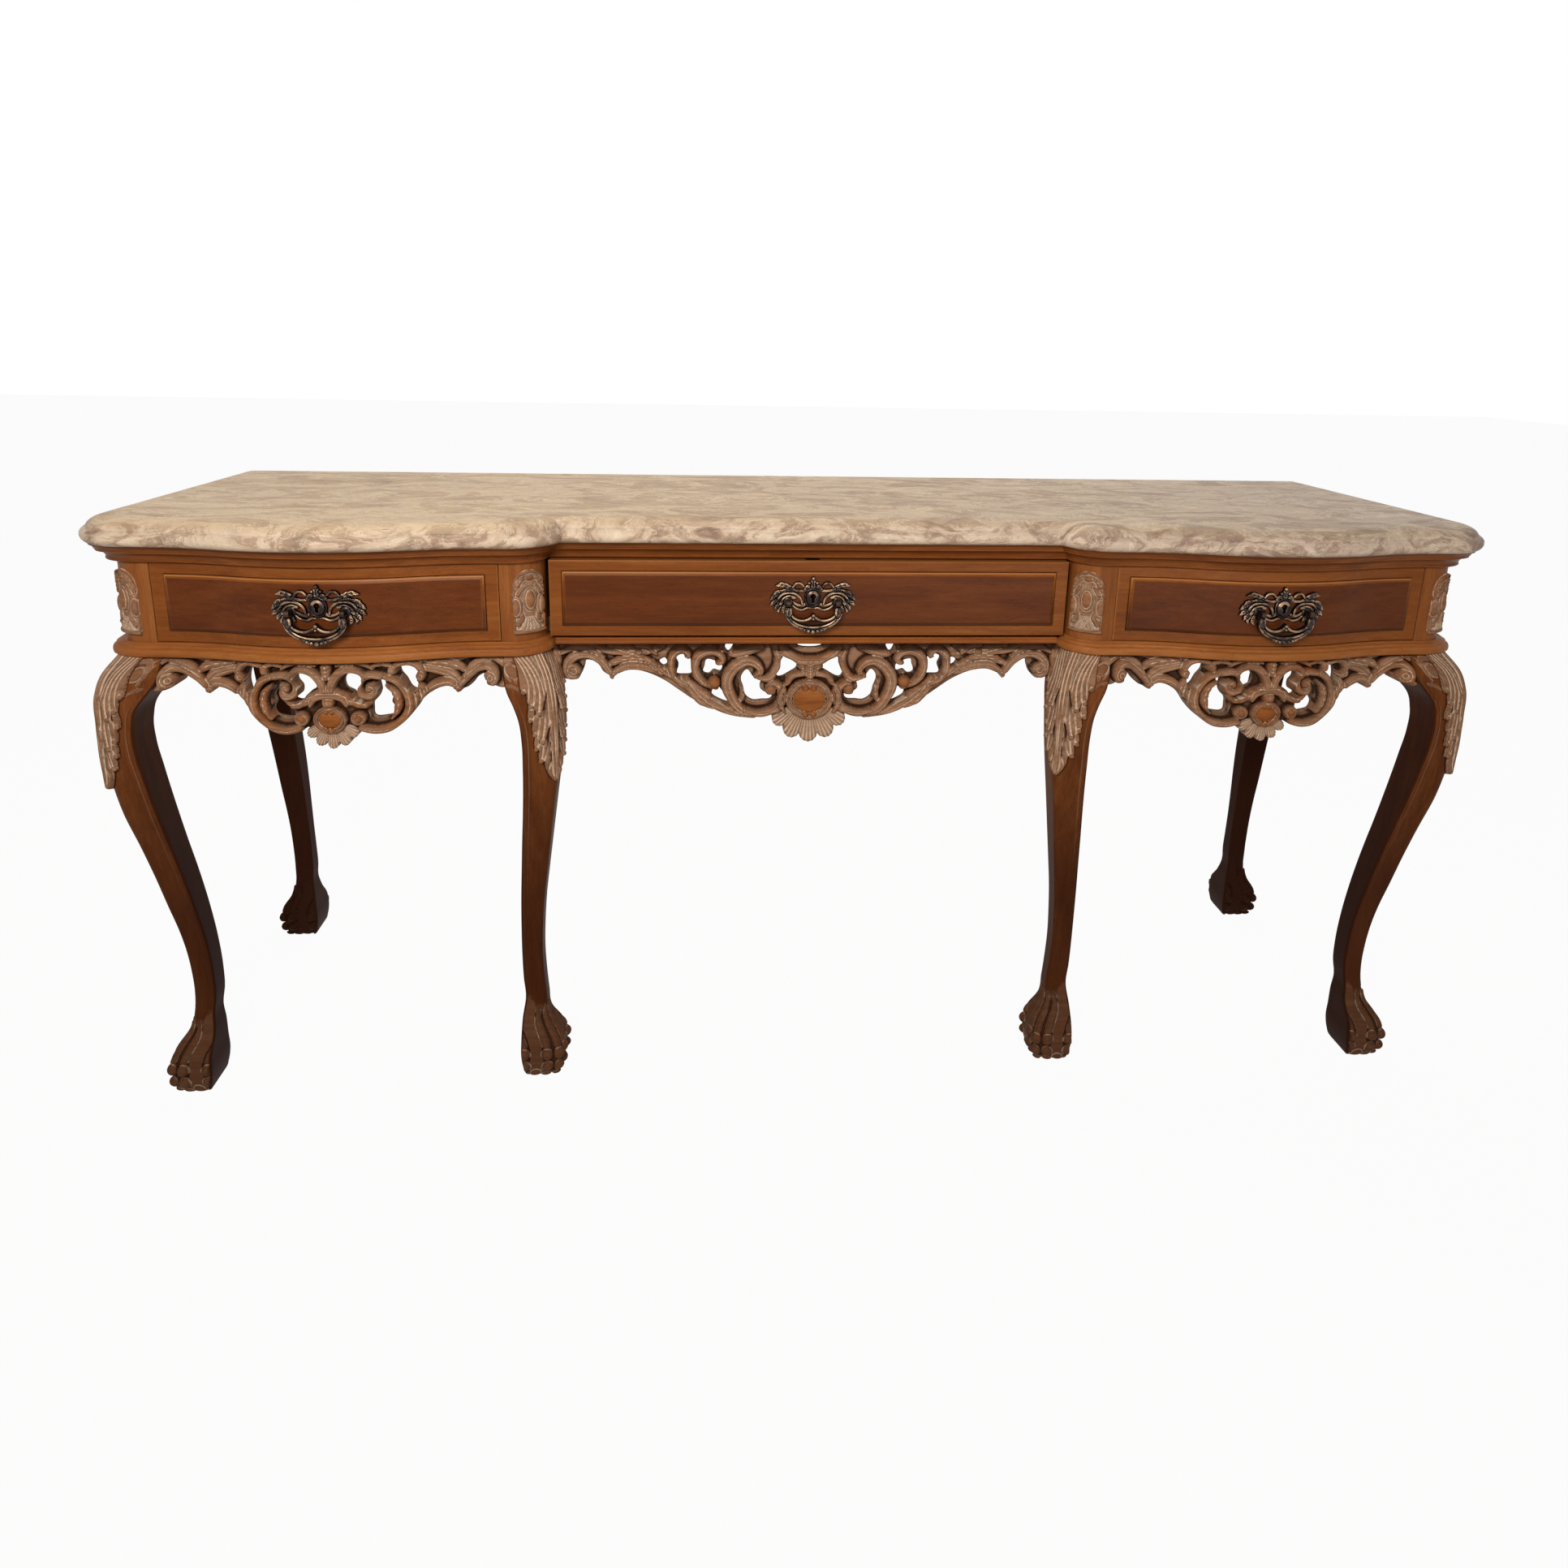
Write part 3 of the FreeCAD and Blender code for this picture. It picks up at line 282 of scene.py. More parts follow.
def lime_colour(g):
    """Carved wood with a pale wash in its cuts and painted shade in its deep gaps, then its amber and its
    bump height.
    """
    cavity, depth = g.attribute("cavity"), g.attribute("depth")
    grain = g.noise(g.coords(GRAIN["x"]), 14.0, 6.0, 0.6, 0.3)
    patch = g.noise(g.object, 14.0, 4.0, 0.55)
    fleck = g.noise(g.object, 160.0, 3.0, 0.6)
    tan = g.ramp(grain, ((0.30, (0.190, 0.092, 0.050)), (0.52, (0.285, 0.153, 0.088)),
                         (0.75, (0.375, 0.220, 0.140))))
    amber = g.ramp(grain, ((0.30, (0.16, 0.045, 0.009)), (0.55, (0.275, 0.090, 0.020)),
                           (0.75, (0.35, 0.13, 0.033))))
    pale = g.ramp(fleck, ((0.30, (0.52, 0.39, 0.29)), (0.70, (0.72, 0.58, 0.46))))
    worn = g.calc("MULTIPLY", g.level(cavity, 0.46, 0.32, 0.0, 0.6), g.level(patch, 0.42, 0.66))
    # Painted shade: the deepest parts of the carving, plain and amber alike, darken to a shadow brown
    gap = g.level(depth, 0.55, 0.80, 0.0, 0.95)
    body = g.mix(gap, g.mix(worn, tan, amber), GAP_SHADE)
    cut = g.calc("MULTIPLY", g.level(cavity, 0.55, 0.72, 0.0, 0.9), g.level(depth, 0.80, 0.62))
    return g.mix(cut, body, pale), g.mix(gap, amber, GAP_SHADE), g.weighted(fleck, 0.4, grain, 0.6)


def limed(name):
    """Limed carving with amber where it was rubbed clean."""
    g = Graph(name)
    lime = g.attribute("lime")
    body, amber, height = lime_colour(g)
    g.bump(height, 0.18, 0.0007)
    return g.finish(g.mix(lime, amber, body), g.level(lime, 0.0, 1.0, 0.40, 0.62),
                    Specular_IOR_Level=VARNISH_GLOSS)


def limed_wood(name, tones):
    """Dark varnished legs with limed carving, with painted shade towards the feet, on the inner faces and
    in the deep parts of the carving.
    """
    g = Graph(name)
    lime = g.attribute("lime")
    plain, height = wood_colour(g, tones, "z", LEG_LOW_SHADE)[:2]
    # Painted shade where depth is high: the inner faces of the legs and the deep parts of their carving
    plain = g.wash(plain, g.attribute("depth"), 0.6, 0.9, 0.72, LEG_SHADE)
    body, _, carved_height = lime_colour(g)
    g.bump(g.mix(lime, height, carved_height), 0.15, 0.0006)
    return g.finish(g.mix(lime, plain, body), g.level(lime, 0.0, 1.0, 0.50, 0.64),
                    Specular_IOR_Level=LEG_GLOSS)


def panel_wood(name, border, field):
    """Drawer front: a lighter border and bevel round a darker field, with painted shade in the quirk, the
    keyhole and the lower and side bevels, and a painted highlight on the upper bevel beside real wear on
    the outer edges.
    """
    g = Graph(name)
    outside, height, blotch = wood_colour(g, border, "x")
    colour = g.mix(g.attribute("field"), outside, wood_colour(g, field, "x")[0])
    cavity = g.attribute("cavity")
    # Painted shade in the quirk, the keyhole and the lower and side bevels
    colour = g.wash(colour, cavity, 0.55, 1.0, 0.85, PANEL_SHADE)
    # Painted highlight on the upper bevel, together with real wear on the outer edges
    colour = g.wash(colour, cavity, 0.47, 0.15, 0.75, RUBBED_EDGE_AND_HIGHLIGHT)
    g.bump(height, 0.12, 0.0006)
    return g.finish(colour, g.sheen(blotch, 0.28, 0.42), Specular_IOR_Level=VARNISH_GLOSS)


def stone(name):
    """Polished marble: tan and cream streaks along the slab, greyer to the right, with fine veins."""
    g = Graph(name)
    drift = g.node("TexNoise", {"Vector": g.coords((2.0, 4.0, 4.0)), "Scale": 2.2, "Detail": 4.0})
    warp = g.node("VectorMath", {0: drift.outputs["Color"], 1: (0.12, 0.12, 0.12), 2: g.object},
                  operation="MULTIPLY_ADD").outputs[0]
    place = g.node("SeparateXYZ", {0: g.object})
    cloud = g.noise(g.coords((1.0, 1.9, 2.0), (0.0, 0.0, 0.30), warp), 9.0, 10.0, 0.74, 1.0)
    streak = g.noise(g.coords((1.0, 3.4, 3.4), (0.0, 0.0, 0.22), warp), 10.0, 10.0, 0.74, 0.9)
    breaks = g.noise(g.coords((1.0, 1.6, 1.6), (0.0, 0.35, -0.3), warp), 14.0, 9.0, 0.66, 1.6)
    fine = g.noise(g.coords((1.0, 2.6, 2.6), vector=warp), 70.0, 6.0, 0.65)
    tan = g.ramp(cloud, ((0.30, (0.40, 0.265, 0.165)), (0.44, (0.58, 0.415, 0.255)),
                         (0.56, (0.71, 0.535, 0.345)), (0.72, (0.83, 0.68, 0.48))))
    grey = g.ramp(cloud, ((0.30, (0.22, 0.155, 0.130)), (0.48, (0.39, 0.295, 0.235)),
                          (0.68, (0.66, 0.54, 0.43))))
    rosy = g.ramp(breaks, ((0.36, (0.17, 0.105, 0.10)), (0.45, (0.40, 0.28, 0.23)),
                           (0.53, (0.70, 0.56, 0.455)), (0.62, (0.80, 0.68, 0.57))))
    side = g.calc("ADD", g.level(place.outputs[0], -0.5, 1.0, 0.0, 0.75),
                  g.level(streak, 0.62, 0.38, -0.25, 0.30))
    base = g.mix(side, tan, grey)
    base = g.wash(base, streak, 0.56, 0.74, 0.75, (0.86, 0.735, 0.545))
    base = g.wash(base, streak, 0.42, 0.26, 0.70, (0.30, 0.195, 0.140))
    base = g.mix(g.calc("MULTIPLY", g.level(place.outputs[2], 0.8795, 0.866), 0.64), base, rosy)
    veins = ((cloud, 0.52, 0.012, 0.75, (0.90, 0.80, 0.64)),
             (breaks, 0.46, 0.010, 0.60, (0.25, 0.145, 0.115)))
    for source, middle, width, share, colour in veins:
        off = g.calc("ABSOLUTE", g.calc("SUBTRACT", source, middle), 0.0)
        base = g.wash(base, off, width, 0.0, share, colour)
    base = g.wash(base, fine, 0.54, 0.72, 0.45, (0.42, 0.30, 0.205))
    g.bump(fine, 0.03, 0.0004)
    return g.finish(base, g.sheen(fine, 0.34, 0.48), Specular_IOR_Level=STONE_GLOSS)


def brass(name):
    """Old cast brass: dark in the hollows, rubbed golden on the heights."""
    g = Graph(name)
    patch = g.noise(g.object, 60.0, 4.0, 0.6)
    fleck = g.noise(g.object, 420.0, 3.0, 0.6)
    # Cavity brings real rubbing on the heights, and on the rosettes also a painted highlight crescent
    rubbed = g.calc("ADD", g.level(g.attribute("cavity"), 0.46, 0.18),
                    g.level(patch, 0.35, 0.75, -0.30, 0.30))
    colour = g.ramp(rubbed, ((0.30, (0.012, 0.006, 0.005)), (0.75, (0.036, 0.019, 0.014)),
                             (1.0, (0.30, 0.19, 0.11))))
    g.bump(fleck, 0.25, 0.0004)
    return g.finish(colour, g.sheen(fleck, 0.30, 0.50), Metallic=0.9, Coat_Weight=0.35, Coat_Roughness=0.2)


def metal(name, dark, light, rough, metallic):
    """Worked metal with cloudy tarnish."""
    g = Graph(name)
    patch = g.noise(g.object, 70.0, 5.0, 0.6)
    g.bump(g.noise(g.object, 500.0, 3.0, 0.6), 0.2, 0.0003)
    return g.finish(g.ramp(patch, ((0.3, dark), (0.7, light))), g.sheen(patch, rough, rough + 0.15),
                    Metallic=metallic)


# Dark, middle and light tones of each wood
CASE_TONES = ((0.170, 0.045, 0.009), (0.275, 0.085, 0.018), (0.38, 0.135, 0.034))
# The cornice tones are a darker copy of the case wood: painted shade for the shadow of the marble slab
# above
CORNICE_SHADED_TONES = ((0.085, 0.022, 0.0055), (0.185, 0.056, 0.0125), (0.29, 0.098, 0.025))
BASE_TONES = ((0.20, 0.058, 0.013), (0.325, 0.112, 0.028), (0.44, 0.175, 0.052))
STILE_TONES = ((0.130, 0.037, 0.009), (0.24, 0.079, 0.020), (0.36, 0.135, 0.040))
END_TONES = ((0.140, 0.040, 0.011), (0.220, 0.068, 0.018), (0.31, 0.108, 0.031))
BORDER_TONES = ((0.120, 0.032, 0.007), (0.205, 0.061, 0.012), (0.31, 0.105, 0.025))
FIELD_TONES = ((0.060, 0.014, 0.004), (0.110, 0.028, 0.006), (0.165, 0.046, 0.011))
LEG_TONES = ((0.065, 0.017, 0.005), (0.150, 0.046, 0.013), (0.26, 0.090, 0.027))
INNER_TONES = ((0.24, 0.135, 0.062), (0.33, 0.20, 0.10), (0.42, 0.27, 0.15))
INNER_ROUGH = 0.62
case_x = wood("case_wood", CASE_TONES, "x")
cornice_shaded_wood = wood("cornice_shaded_wood", CORNICE_SHADED_TONES, "x")
base_wood = wood("base_wood", BASE_TONES, "x")
case_z = wood("stile_wood", STILE_TONES, "z")
case_y = wood("end_wood", END_TONES, "y")
front_wood = panel_wood("front_wood", BORDER_TONES, FIELD_TONES)
leg_carved = limed_wood("leg_wood", LEG_TONES)
inner = wood("inner_wood", INNER_TONES, "y", INNER_ROUGH)
inner_x = wood("inner_wood_across", INNER_TONES, "x", INNER_ROUGH)
carved = limed("carving")
marble = stone("marble")
cast = brass("cast_brass")
worn_brass = metal("worn_brass", (0.014, 0.008, 0.006), (0.070, 0.040, 0.024), 0.32, 0.9)
iron = metal("lock_iron", (0.035, 0.032, 0.030), (0.10, 0.09, 0.08), 0.45, 0.85)


# Finishes of the solids that show as they are
def dress(names, material):
    """Gives solids their finish."""
    for name in names:
        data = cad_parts[name].data
        data.materials.clear()
        data.materials.append(material)


DRAWERS = ("left", "centre", "right")
dress(["carcase_top", "bottom_board_centre"], case_x)
dress(["rear_post_left", "rear_post_right"], case_z)
dress(["end_panel_left", "end_panel_right"], case_y)
dress(["back_panel", "drawer_stops"], inner_x)
dress(["partition_left", "partition_right", "drawer_guides", "drawer_kickers"], inner)
for side in DRAWERS:
    dress(["drawer_sides_" + side, "drawer_bottom_" + side], inner)
    dress(["drawer_back_" + side], inner_x)
    dress(["lock_" + side], iron)
    dress(["handle_posts_" + side], worn_brass)


# Carved relief: a height field over half a front view, cut out along an outline
def box_mean(field, radius):
    """Mean over a square window, along one axis after the other."""
    for axis in (0, 1):
        pad = [(0, 0), (0, 0)]
        pad[axis] = (radius + 1, radius)
        total = np.cumsum(np.pad(field, pad, mode="edge"), axis=axis)
        size = 2 * radius + 1
        high = np.take(total, range(size, total.shape[axis]), axis=axis)
        low = np.take(total, range(0, total.shape[axis] - size), axis=axis)
        field = (high - low) / size
    return field


def outline_distance(polygon, h, k):
    """Signed distance to a closed outline, positive inside."""
    best = np.full(h.shape, 1e9)
    odd = np.zeros(h.shape, bool)
    for (ax, az), (bx, bz) in zip(polygon, np.roll(polygon, -1, axis=0)):
        dx, dz = bx - ax, bz - az
        t = unit(((h - ax) * dx + (k - az) * dz) / max(dx * dx + dz * dz, 1e-12))
        best = np.minimum(best, (h - ax - t * dx) ** 2 + (k - az - t * dz) ** 2)
        if az != bz:
            cross = ((az > k) != (bz > k)) & (h < (bx - ax) * (k - az) / (bz - az) + ax)
            odd ^= cross
    return np.where(odd, 1.0, -1.0) * np.sqrt(best)


def whole(half):
    """A half outline from the axis outward and back, with its mirror image."""
    half = np.asarray(half, float)
    other = half[::-1] * np.array([-1.0, 1.0])
    return np.vstack([half, other])


def spiral(centre, outer, inner_radius, start, turns):
    """Points of a volute that winds from outer to inner radius."""
    angle = np.radians(start + np.linspace(0.0, 360.0 * turns, max(8, int(abs(turns) * 16))))
    radius = np.linspace(outer, inner_radius, len(angle))
    return np.stack([centre[0] + radius * np.cos(angle), centre[1] + radius * np.sin(angle)], 1)


LINE_STEP = 0.8
GROOVE_DEEP = 1.1
OUTSIDE = 50.0
CROWN_POWER = 2.4
LEAF_CROWN, LEAF_VEINS, LEAF_RIB, RIB_WIDTH, VEIN_SLANT = 0.72, 0.28, 0.25, 0.13, 0.8
BAND_CROWN, BAND_RIBS = 0.62, 0.38
CURL_REACH, CURL_EDGE, SHADE_DEEP, SHADE_REACH = 8.0, 1.4, 1.4, 2.0
FLUTES, FLUTE_DEEP, FLUTE_WASH, SHELL_WASH = 5.0, 1.1, 0.20, 0.56
FINE_REACH, CAVITY_SPAN, DEPTH_SPAN = 2.0, 2.2, 7.0
SEAT_SHADE = 0.45
HOLE_REACH, FILL_REACH, FILL_ROUND = 8.0, 2.0, 1.2
SHELL_REACH, SHELL_NEAR, SHELL_FAR = 8.0, 0.45, 0.55
VOLUTE_EYE = 0.38
RIM_CUT = -0.01


class Relief:
    """Height, outline and wash of a carving over half of its front view, in millimetres."""

    def __init__(self, width, low, high, step):
        self.step = step
        self.h = np.arange(0.0, width + step, step)
        self.k = np.arange(low, high + step, step)
        self.hh, self.kk = np.meshgrid(self.h, self.k)
        self.z = np.zeros(self.hh.shape)
        self.cut = np.full(self.hh.shape, OUTSIDE)
        self.lime = np.ones(self.hh.shape)
        self.streak = np.zeros(self.hh.shape)
        self.open = False
        self.bold = 1.0

    def openwork(self):
        """Starts from nothing, so that only the members themselves are kept."""
        self.open = True
        self.cut[:] = -OUTSIDE

    def window(self, line, reach):
        """The part of the field within reach of a line."""
        low, high = line.min(0) - reach, line.max(0) + reach
        i = np.searchsorted(self.h, (low[0], high[0]))
        j = np.searchsorted(self.k, (low[1], high[1]))
        return slice(j[0], j[1]), slice(i[0], i[1])

    def edge(self, polygon, hole=False, grow=0.0):
        """Keeps what lies inside an outline, or takes out a hole."""
        spot = self.window(polygon, HOLE_REACH) if hole else (slice(None), slice(None))
        far = outline_distance(polygon, self.hh[spot], self.kk[spot]) + grow
        self.cut[spot] = np.minimum(self.cut[spot], -far if hole else far)

    def lay(self, inside, made, lime=None, spot=...):
        """Puts a form where it lies inside its outline, with its share of wash."""
        self.z[spot] = np.where(inside, made, self.z[spot])
        self.streak[spot] = np.where(inside, 0.0, self.streak[spot])
        if lime is not None:
            self.lime[spot] = np.where(inside, lime, self.lime[spot])

    def sink(self, gap, groove, spot=...):
        """Cuts a narrow groove round a form, and keeps the form itself in openwork."""
        z = self.z[spot]
        self.z[spot] = np.where((gap >= 0.0) & (gap < groove), z - GROOVE_DEEP * (1.0 - gap / groove), z)
        if self.open:
            self.cut[spot] = np.maximum(self.cut[spot], -gap)

    def fill(self, polygon, level, lime):
        """A flat tongue with rounded edges."""
        spot = self.window(polygon, FILL_REACH)
        far = outline_distance(polygon, self.hh[spot], self.kk[spot])
        self.lay(far > 0.0, level * unit(far / FILL_ROUND) ** 0.5, lime, spot)

    def stroke(self, points, width, tail, tip, level, rise, ridges, style="band", groove=1.0, lime=None,
               swell=0.3):
        """A raised member along a smooth line: its width, the share of that at its tail and its tip, the
        level of its foot, its rise and the number of its ridges."""
        line = dense(points, LINE_STEP)
        width = width * self.bold
        t = np.linspace(0.0, 1.0, len(line))
        half = width / 2.0 * np.interp(t, (0.0, swell, 1.0 - swell, 1.0), (tail, 1.0, 1.0, tip))
        spot = self.window(line, width / 2.0 + groove + 1.0)
        shape = self.hh[spot].shape
        if 0 in shape:
            return
        cells = np.stack([self.hh[spot].ravel(), self.kk[spot].ravel()], 1)
        far = ((cells[:, None, 0] - line[None, :, 0]) ** 2 + (cells[:, None, 1] - line[None, :, 1]) ** 2)
        j = far.argmin(1)
        dist = np.sqrt(far[np.arange(len(j)), j])
        along = np.gradient(line, axis=0)[j]
        off = cells - line[j]
        side = np.sign(along[:, 0] * off[:, 1] - along[:, 1] * off[:, 0])
        r = dist / half[j]
        u = unit(r) * side
        rim = np.sqrt(unit(1.0 - unit(r) ** 4))
        body = np.sqrt(unit(1.0 - np.abs(u) ** CROWN_POWER))
        if style == "leaf":
            veins = 0.5 + 0.5 * np.cos(2.0 * np.pi * (t[j] * ridges * 2.0 - VEIN_SLANT * np.abs(u)))
            rib = LEAF_RIB * rim * np.exp(-(u / RIB_WIDTH) ** 2)
            body = LEAF_CROWN * body + LEAF_VEINS * rim * veins - rib
        elif style == "band":
            rib = 2.0 * (((u + 1.0) * 0.5 * ridges) % 1.0) - 1.0
            body = BAND_CROWN * body + BAND_RIBS * rim * np.sqrt(unit(1.0 - rib * rib))
        self.sink((dist - half[j]).reshape(shape), groove, spot)
        self.lay(r.reshape(shape) < 1.0, (level + rise * body).reshape(shape), lime, spot)

    def plate(self, half, level, lift, lime):
        """A tier of a leaf, mirrored about the axis, that curls up to its scalloped rim."""
        far = outline_distance(whole(half), self.hh, self.kk)
        curl = level + lift * np.exp(-np.maximum(far, 0.0) / CURL_REACH) * unit(far / CURL_EDGE) ** 0.5
        below = self.z - SHADE_DEEP * unit(1.0 + far / SHADE_REACH)
        self.z = np.where(far > -SHADE_REACH, below, self.z)
        self.lay(far > 0.0, curl, lime)

    def vein(self, points, width, deep, pale):
        """A fine groove along a smooth line, with wash left in it."""
        line = dense(points, LINE_STEP)
        spot = self.window(line, 3.0 * width)
        h, k = self.hh[spot][..., None], self.kk[spot][..., None]
        dist = np.sqrt(((h - line[:, 0]) ** 2 + (k - line[:, 1]) ** 2).min(-1))
        near = np.exp(-(dist / width) ** 2)
        self.z[spot] = self.z[spot] - deep * near
        self.streak[spot] = np.maximum(self.streak[spot], pale * near)

    def seat(self, low, high):
        """Paints shade on the wood towards the board that it stands under, where that board's shadow falls.
        """
        share = self.mirror(np.interp(self.kk, (low, high), (0.0, SEAT_SHADE)))
        self.depth = np.maximum(self.depth, 0.5 + share)

    def ball(self, centre, radius, level, rise, lime=None, oval=1.0, groove=1.2):
        """A dome, which may be oval, with its share of wash inside its rim."""
        r = np.hypot((self.hh - centre[0]), (self.kk - centre[1]) / oval) / radius
        self.sink((r - 1.0) * radius, groove)
        self.lay(r < 1.0, level + rise * np.sqrt(unit(1.0 - r * r)))
        if lime is not None:
            self.lime = np.where(r < 0.95, lime, self.lime)

    def ring(self, centre, radius, width, level, rise, oval=1.0):
        """A raised hoop, which may be oval."""
        r = (np.hypot(self.hh - centre[0], (self.kk - centre[1]) / oval) - radius) / (width / 2.0)
        self.lay(np.abs(r) < 1.0, level + rise * np.sqrt(unit(1.0 - r * r)))

    def volute(self, centre, radius, start, turns, width, level, rise):
        """A spiral end with a round eye."""
        eye = radius * VOLUTE_EYE
        line = spiral(centre, radius - width / 2.0, eye, start, turns)
        self.stroke(line, width, 1.0, 0.6, level, rise, 1, "round")
        self.ball(centre, eye, level + 0.3, rise + 0.4)

    def shell(self, centre, near, far, spread, lobes, level, rise):
        """Radiating lobes below a cartouche, with fine flutes."""
        dx, dz = self.hh - centre[0], self.kk - centre[1]
        r = np.hypot(dx, dz)
        angle = np.degrees(np.arctan2(dx, -dz))
        lobe = (angle + spread) / (2.0 * spread) * lobes
        body = np.abs(np.sin(np.pi * lobe)) ** 0.4
        flutes = (0.5 + 0.5 * np.cos(2.0 * np.pi * lobe * FLUTES)) ** 2
        share = unit((r - near) / (far - near))
        swell = SHELL_NEAR + SHELL_FAR * share
        made = level + rise * body * swell - FLUTE_DEEP * flutes * share ** 0.5
        inside = (np.abs(angle) < spread) & (r > near) & (r < far + SHELL_REACH) & (dz < 0.0)
        self.z = np.where(inside, made, self.z)
        self.streak = np.where(inside, SHELL_WASH + FLUTE_WASH * flutes * share ** 0.3, self.streak)

    def settle(self, roll=2.4, drop=2.0, gain=1.0):
        """Rounds the cut edges and finds how deep each point lies in its surroundings."""
        near = unit(1.0 - self.cut / roll)
        self.z = self.z * gain - drop * near ** 2 * (self.cut > -roll)
        reach = max(1, int(FINE_REACH / self.step))
        full = self.mirror(self.z)
        fine = box_mean(box_mean(full, reach), reach)
        broad = box_mean(box_mean(full, 3 * reach), 3 * reach)
        self.cavity = unit(0.5 + (fine - full) / (CAVITY_SPAN * gain))
        self.cavity = np.maximum(self.cavity, self.mirror(self.streak))
        self.depth = unit(0.5 + (broad - full) / (DEPTH_SPAN * gain))

    @staticmethod
    def mirror(half):
        """A field over both halves of the front view."""
        return np.hstack([half[:, :0:-1], half])

    def build(self, front, back):
        """Points, faces and values of the cut-out carving between its front and its back."""
        h = np.concatenate([-self.h[:0:-1], self.h])
        cut, z, lime = self.mirror(self.cut), self.mirror(self.z), self.mirror(self.lime)
        for rim in ([0, -1], (slice(None), [0, -1])):
            cut[rim] = np.minimum(cut[rim], RIM_CUT)
        hh, kk = np.meshgrid(h, self.k)
        stack = np.stack([hh, kk, z, lime, self.cavity, self.depth], -1)
        inside = cut > 0.0
        index = np.full(cut.shape, -1)
        index[inside] = np.arange(inside.sum())
        rows = [stack[inside]]
        count = len(rows[0])
        crossing = []
        for axis in (1, 0):
            first = tuple(slice(0, -1) if a == axis else slice(None) for a in (0, 1))
            second = tuple(slice(1, None) if a == axis else slice(None) for a in (0, 1))
            mixed = inside[first] != inside[second]
            share = (cut[first] / np.where(mixed, cut[first] - cut[second], 1.0))[mixed][:, None]
            rows.append(stack[first][mixed] * (1.0 - share) + stack[second][mixed] * share)
            table = np.full(mixed.shape, -1)
            table[mixed] = count + np.arange(mixed.sum())
            count += int(mixed.sum())
            crossing.append(table)
        flat, upright = crossing
        data = np.vstack(rows)
        cell = ((0, 0), (0, 1), (1, 1), (1, 0))
        quarters = [(slice(i, i - 1 or None), slice(j, j - 1 or None)) for i, j in cell]
        corners = sum(inside[quarter].astype(int) for quarter in quarters)
        full = corners == 4
        faces = np.stack([index[quarter][full] for quarter in quarters], -1).tolist()
        walls = []
        for i, j in np.argwhere((corners > 0) & (corners < 4)):
            around = ((i, j), (i, j + 1), (i + 1, j + 1), (i + 1, j))
            edges = (flat[i, j], upright[i, j + 1], flat[i + 1, j], upright[i, j])
            face, marks = [], []
            for c in range(4):
                here, there = around[c], around[(c + 1) % 4]
                if inside[here]:
                    face.append(int(index[here]))
                if inside[here] != inside[there]:
                    face.append(int(edges[c]))
                    marks.append((int(edges[c]), bool(inside[here])))
            faces.append(face)
            for m in range(len(marks)):
                if marks[m][1]:
                    walls.append((marks[m][0], marks[(m + 1) % len(marks)][0]))
        total = len(data)
        points = np.vstack([front(data[:, 0], data[:, 1], data[:, 2]), back(data[:, 0], data[:, 1])])
        rear = [[v + total for v in face[::-1]] for face in faces]
        sides = [[a, a + total, b + total, b] for a, b in walls]
        plain = np.full(total, 0.5)
        values = {"lime": np.tile(data[:, 3], 2), "cavity": np.append(data[:, 4], plain),
                  "depth": np.append(data[:, 5], plain)}
        return points, faces + rear + sides, values


def bow_y(x, reach=0.0):
    """Front line of a bowed pavilion at a distance x from its middle."""
    x = np.abs(x)
    near = np.minimum(x, BOW_REACH)
    far = np.clip(BOW_HALF - x, 0.0, BOW_REACH)
    crown = Y_FRONT - BOW_RISE + BOW_RADIUS - np.sqrt((BOW_RADIUS + reach) ** 2 - near ** 2)
    hollow = Y_FRONT - BOW_RADIUS + np.sqrt((BOW_RADIUS - reach) ** 2 - far ** 2)
    return np.where(x < BOW_HALF / 2.0, crown, hollow)


# Sawn lines of the knees, as drop and reach
END_OUTER = (
    (0, 4), (22, 19.5), (50, 28.5), (90, 30.5), (130, 29.5), (170, 24.5), (224, 16), (281, 5),
    (334, -4.5), (390, -13.5), (430, -20), (469, -24.5), (505, -26.5), (540, -26.5), (572, -23.5))
END_INNER = (
    (0, 63), (14, 62.5), (32, 58.5), (49, 46), (68, 32), (95, 25.5), (130, 25), (170, 28.5), (245, 36),
    (290, 41), (340, 47), (405, 53.5), (462, 57.5), (515, 59), (550, 58), (572, 55))
INNER_FRONT = (
    (0, 0), (22, 11), (50, 17), (90, 18.5), (130, 17), (170, 13), (232, 2), (295, -11), (352, -22),
    (400, -30), (447, -36), (495, -39.5), (537, -40.5), (572, -39.5))


# The two bowed aprons and the straight one
APRON_STEP, CENTRE_STEP = 0.9, 1.08
APRON_GROUND, APRON_ROLL, APRON_DROP, APRON_GAIN = -4.0, 4.0, 3.5, 1.7
SEAT_LOW = 683.0
PAVILION_FACE = 4.0
CENTRE_FACE = -165.0
APRON_DEPTH = 20.0
KNEE_START, KNEE_FULL, KNEE_INSET = 176.0, 236.0, 3.0
CARVED_SHARP = 50.0


def arc_points(centre, radius, low, high, count):
    """Points of an arc between two angles in degrees."""
    angle = np.radians(np.linspace(low, high, count))
    return [(centre[0] + radius * math.cos(a), centre[1] + radius * math.sin(a)) for a in angle]


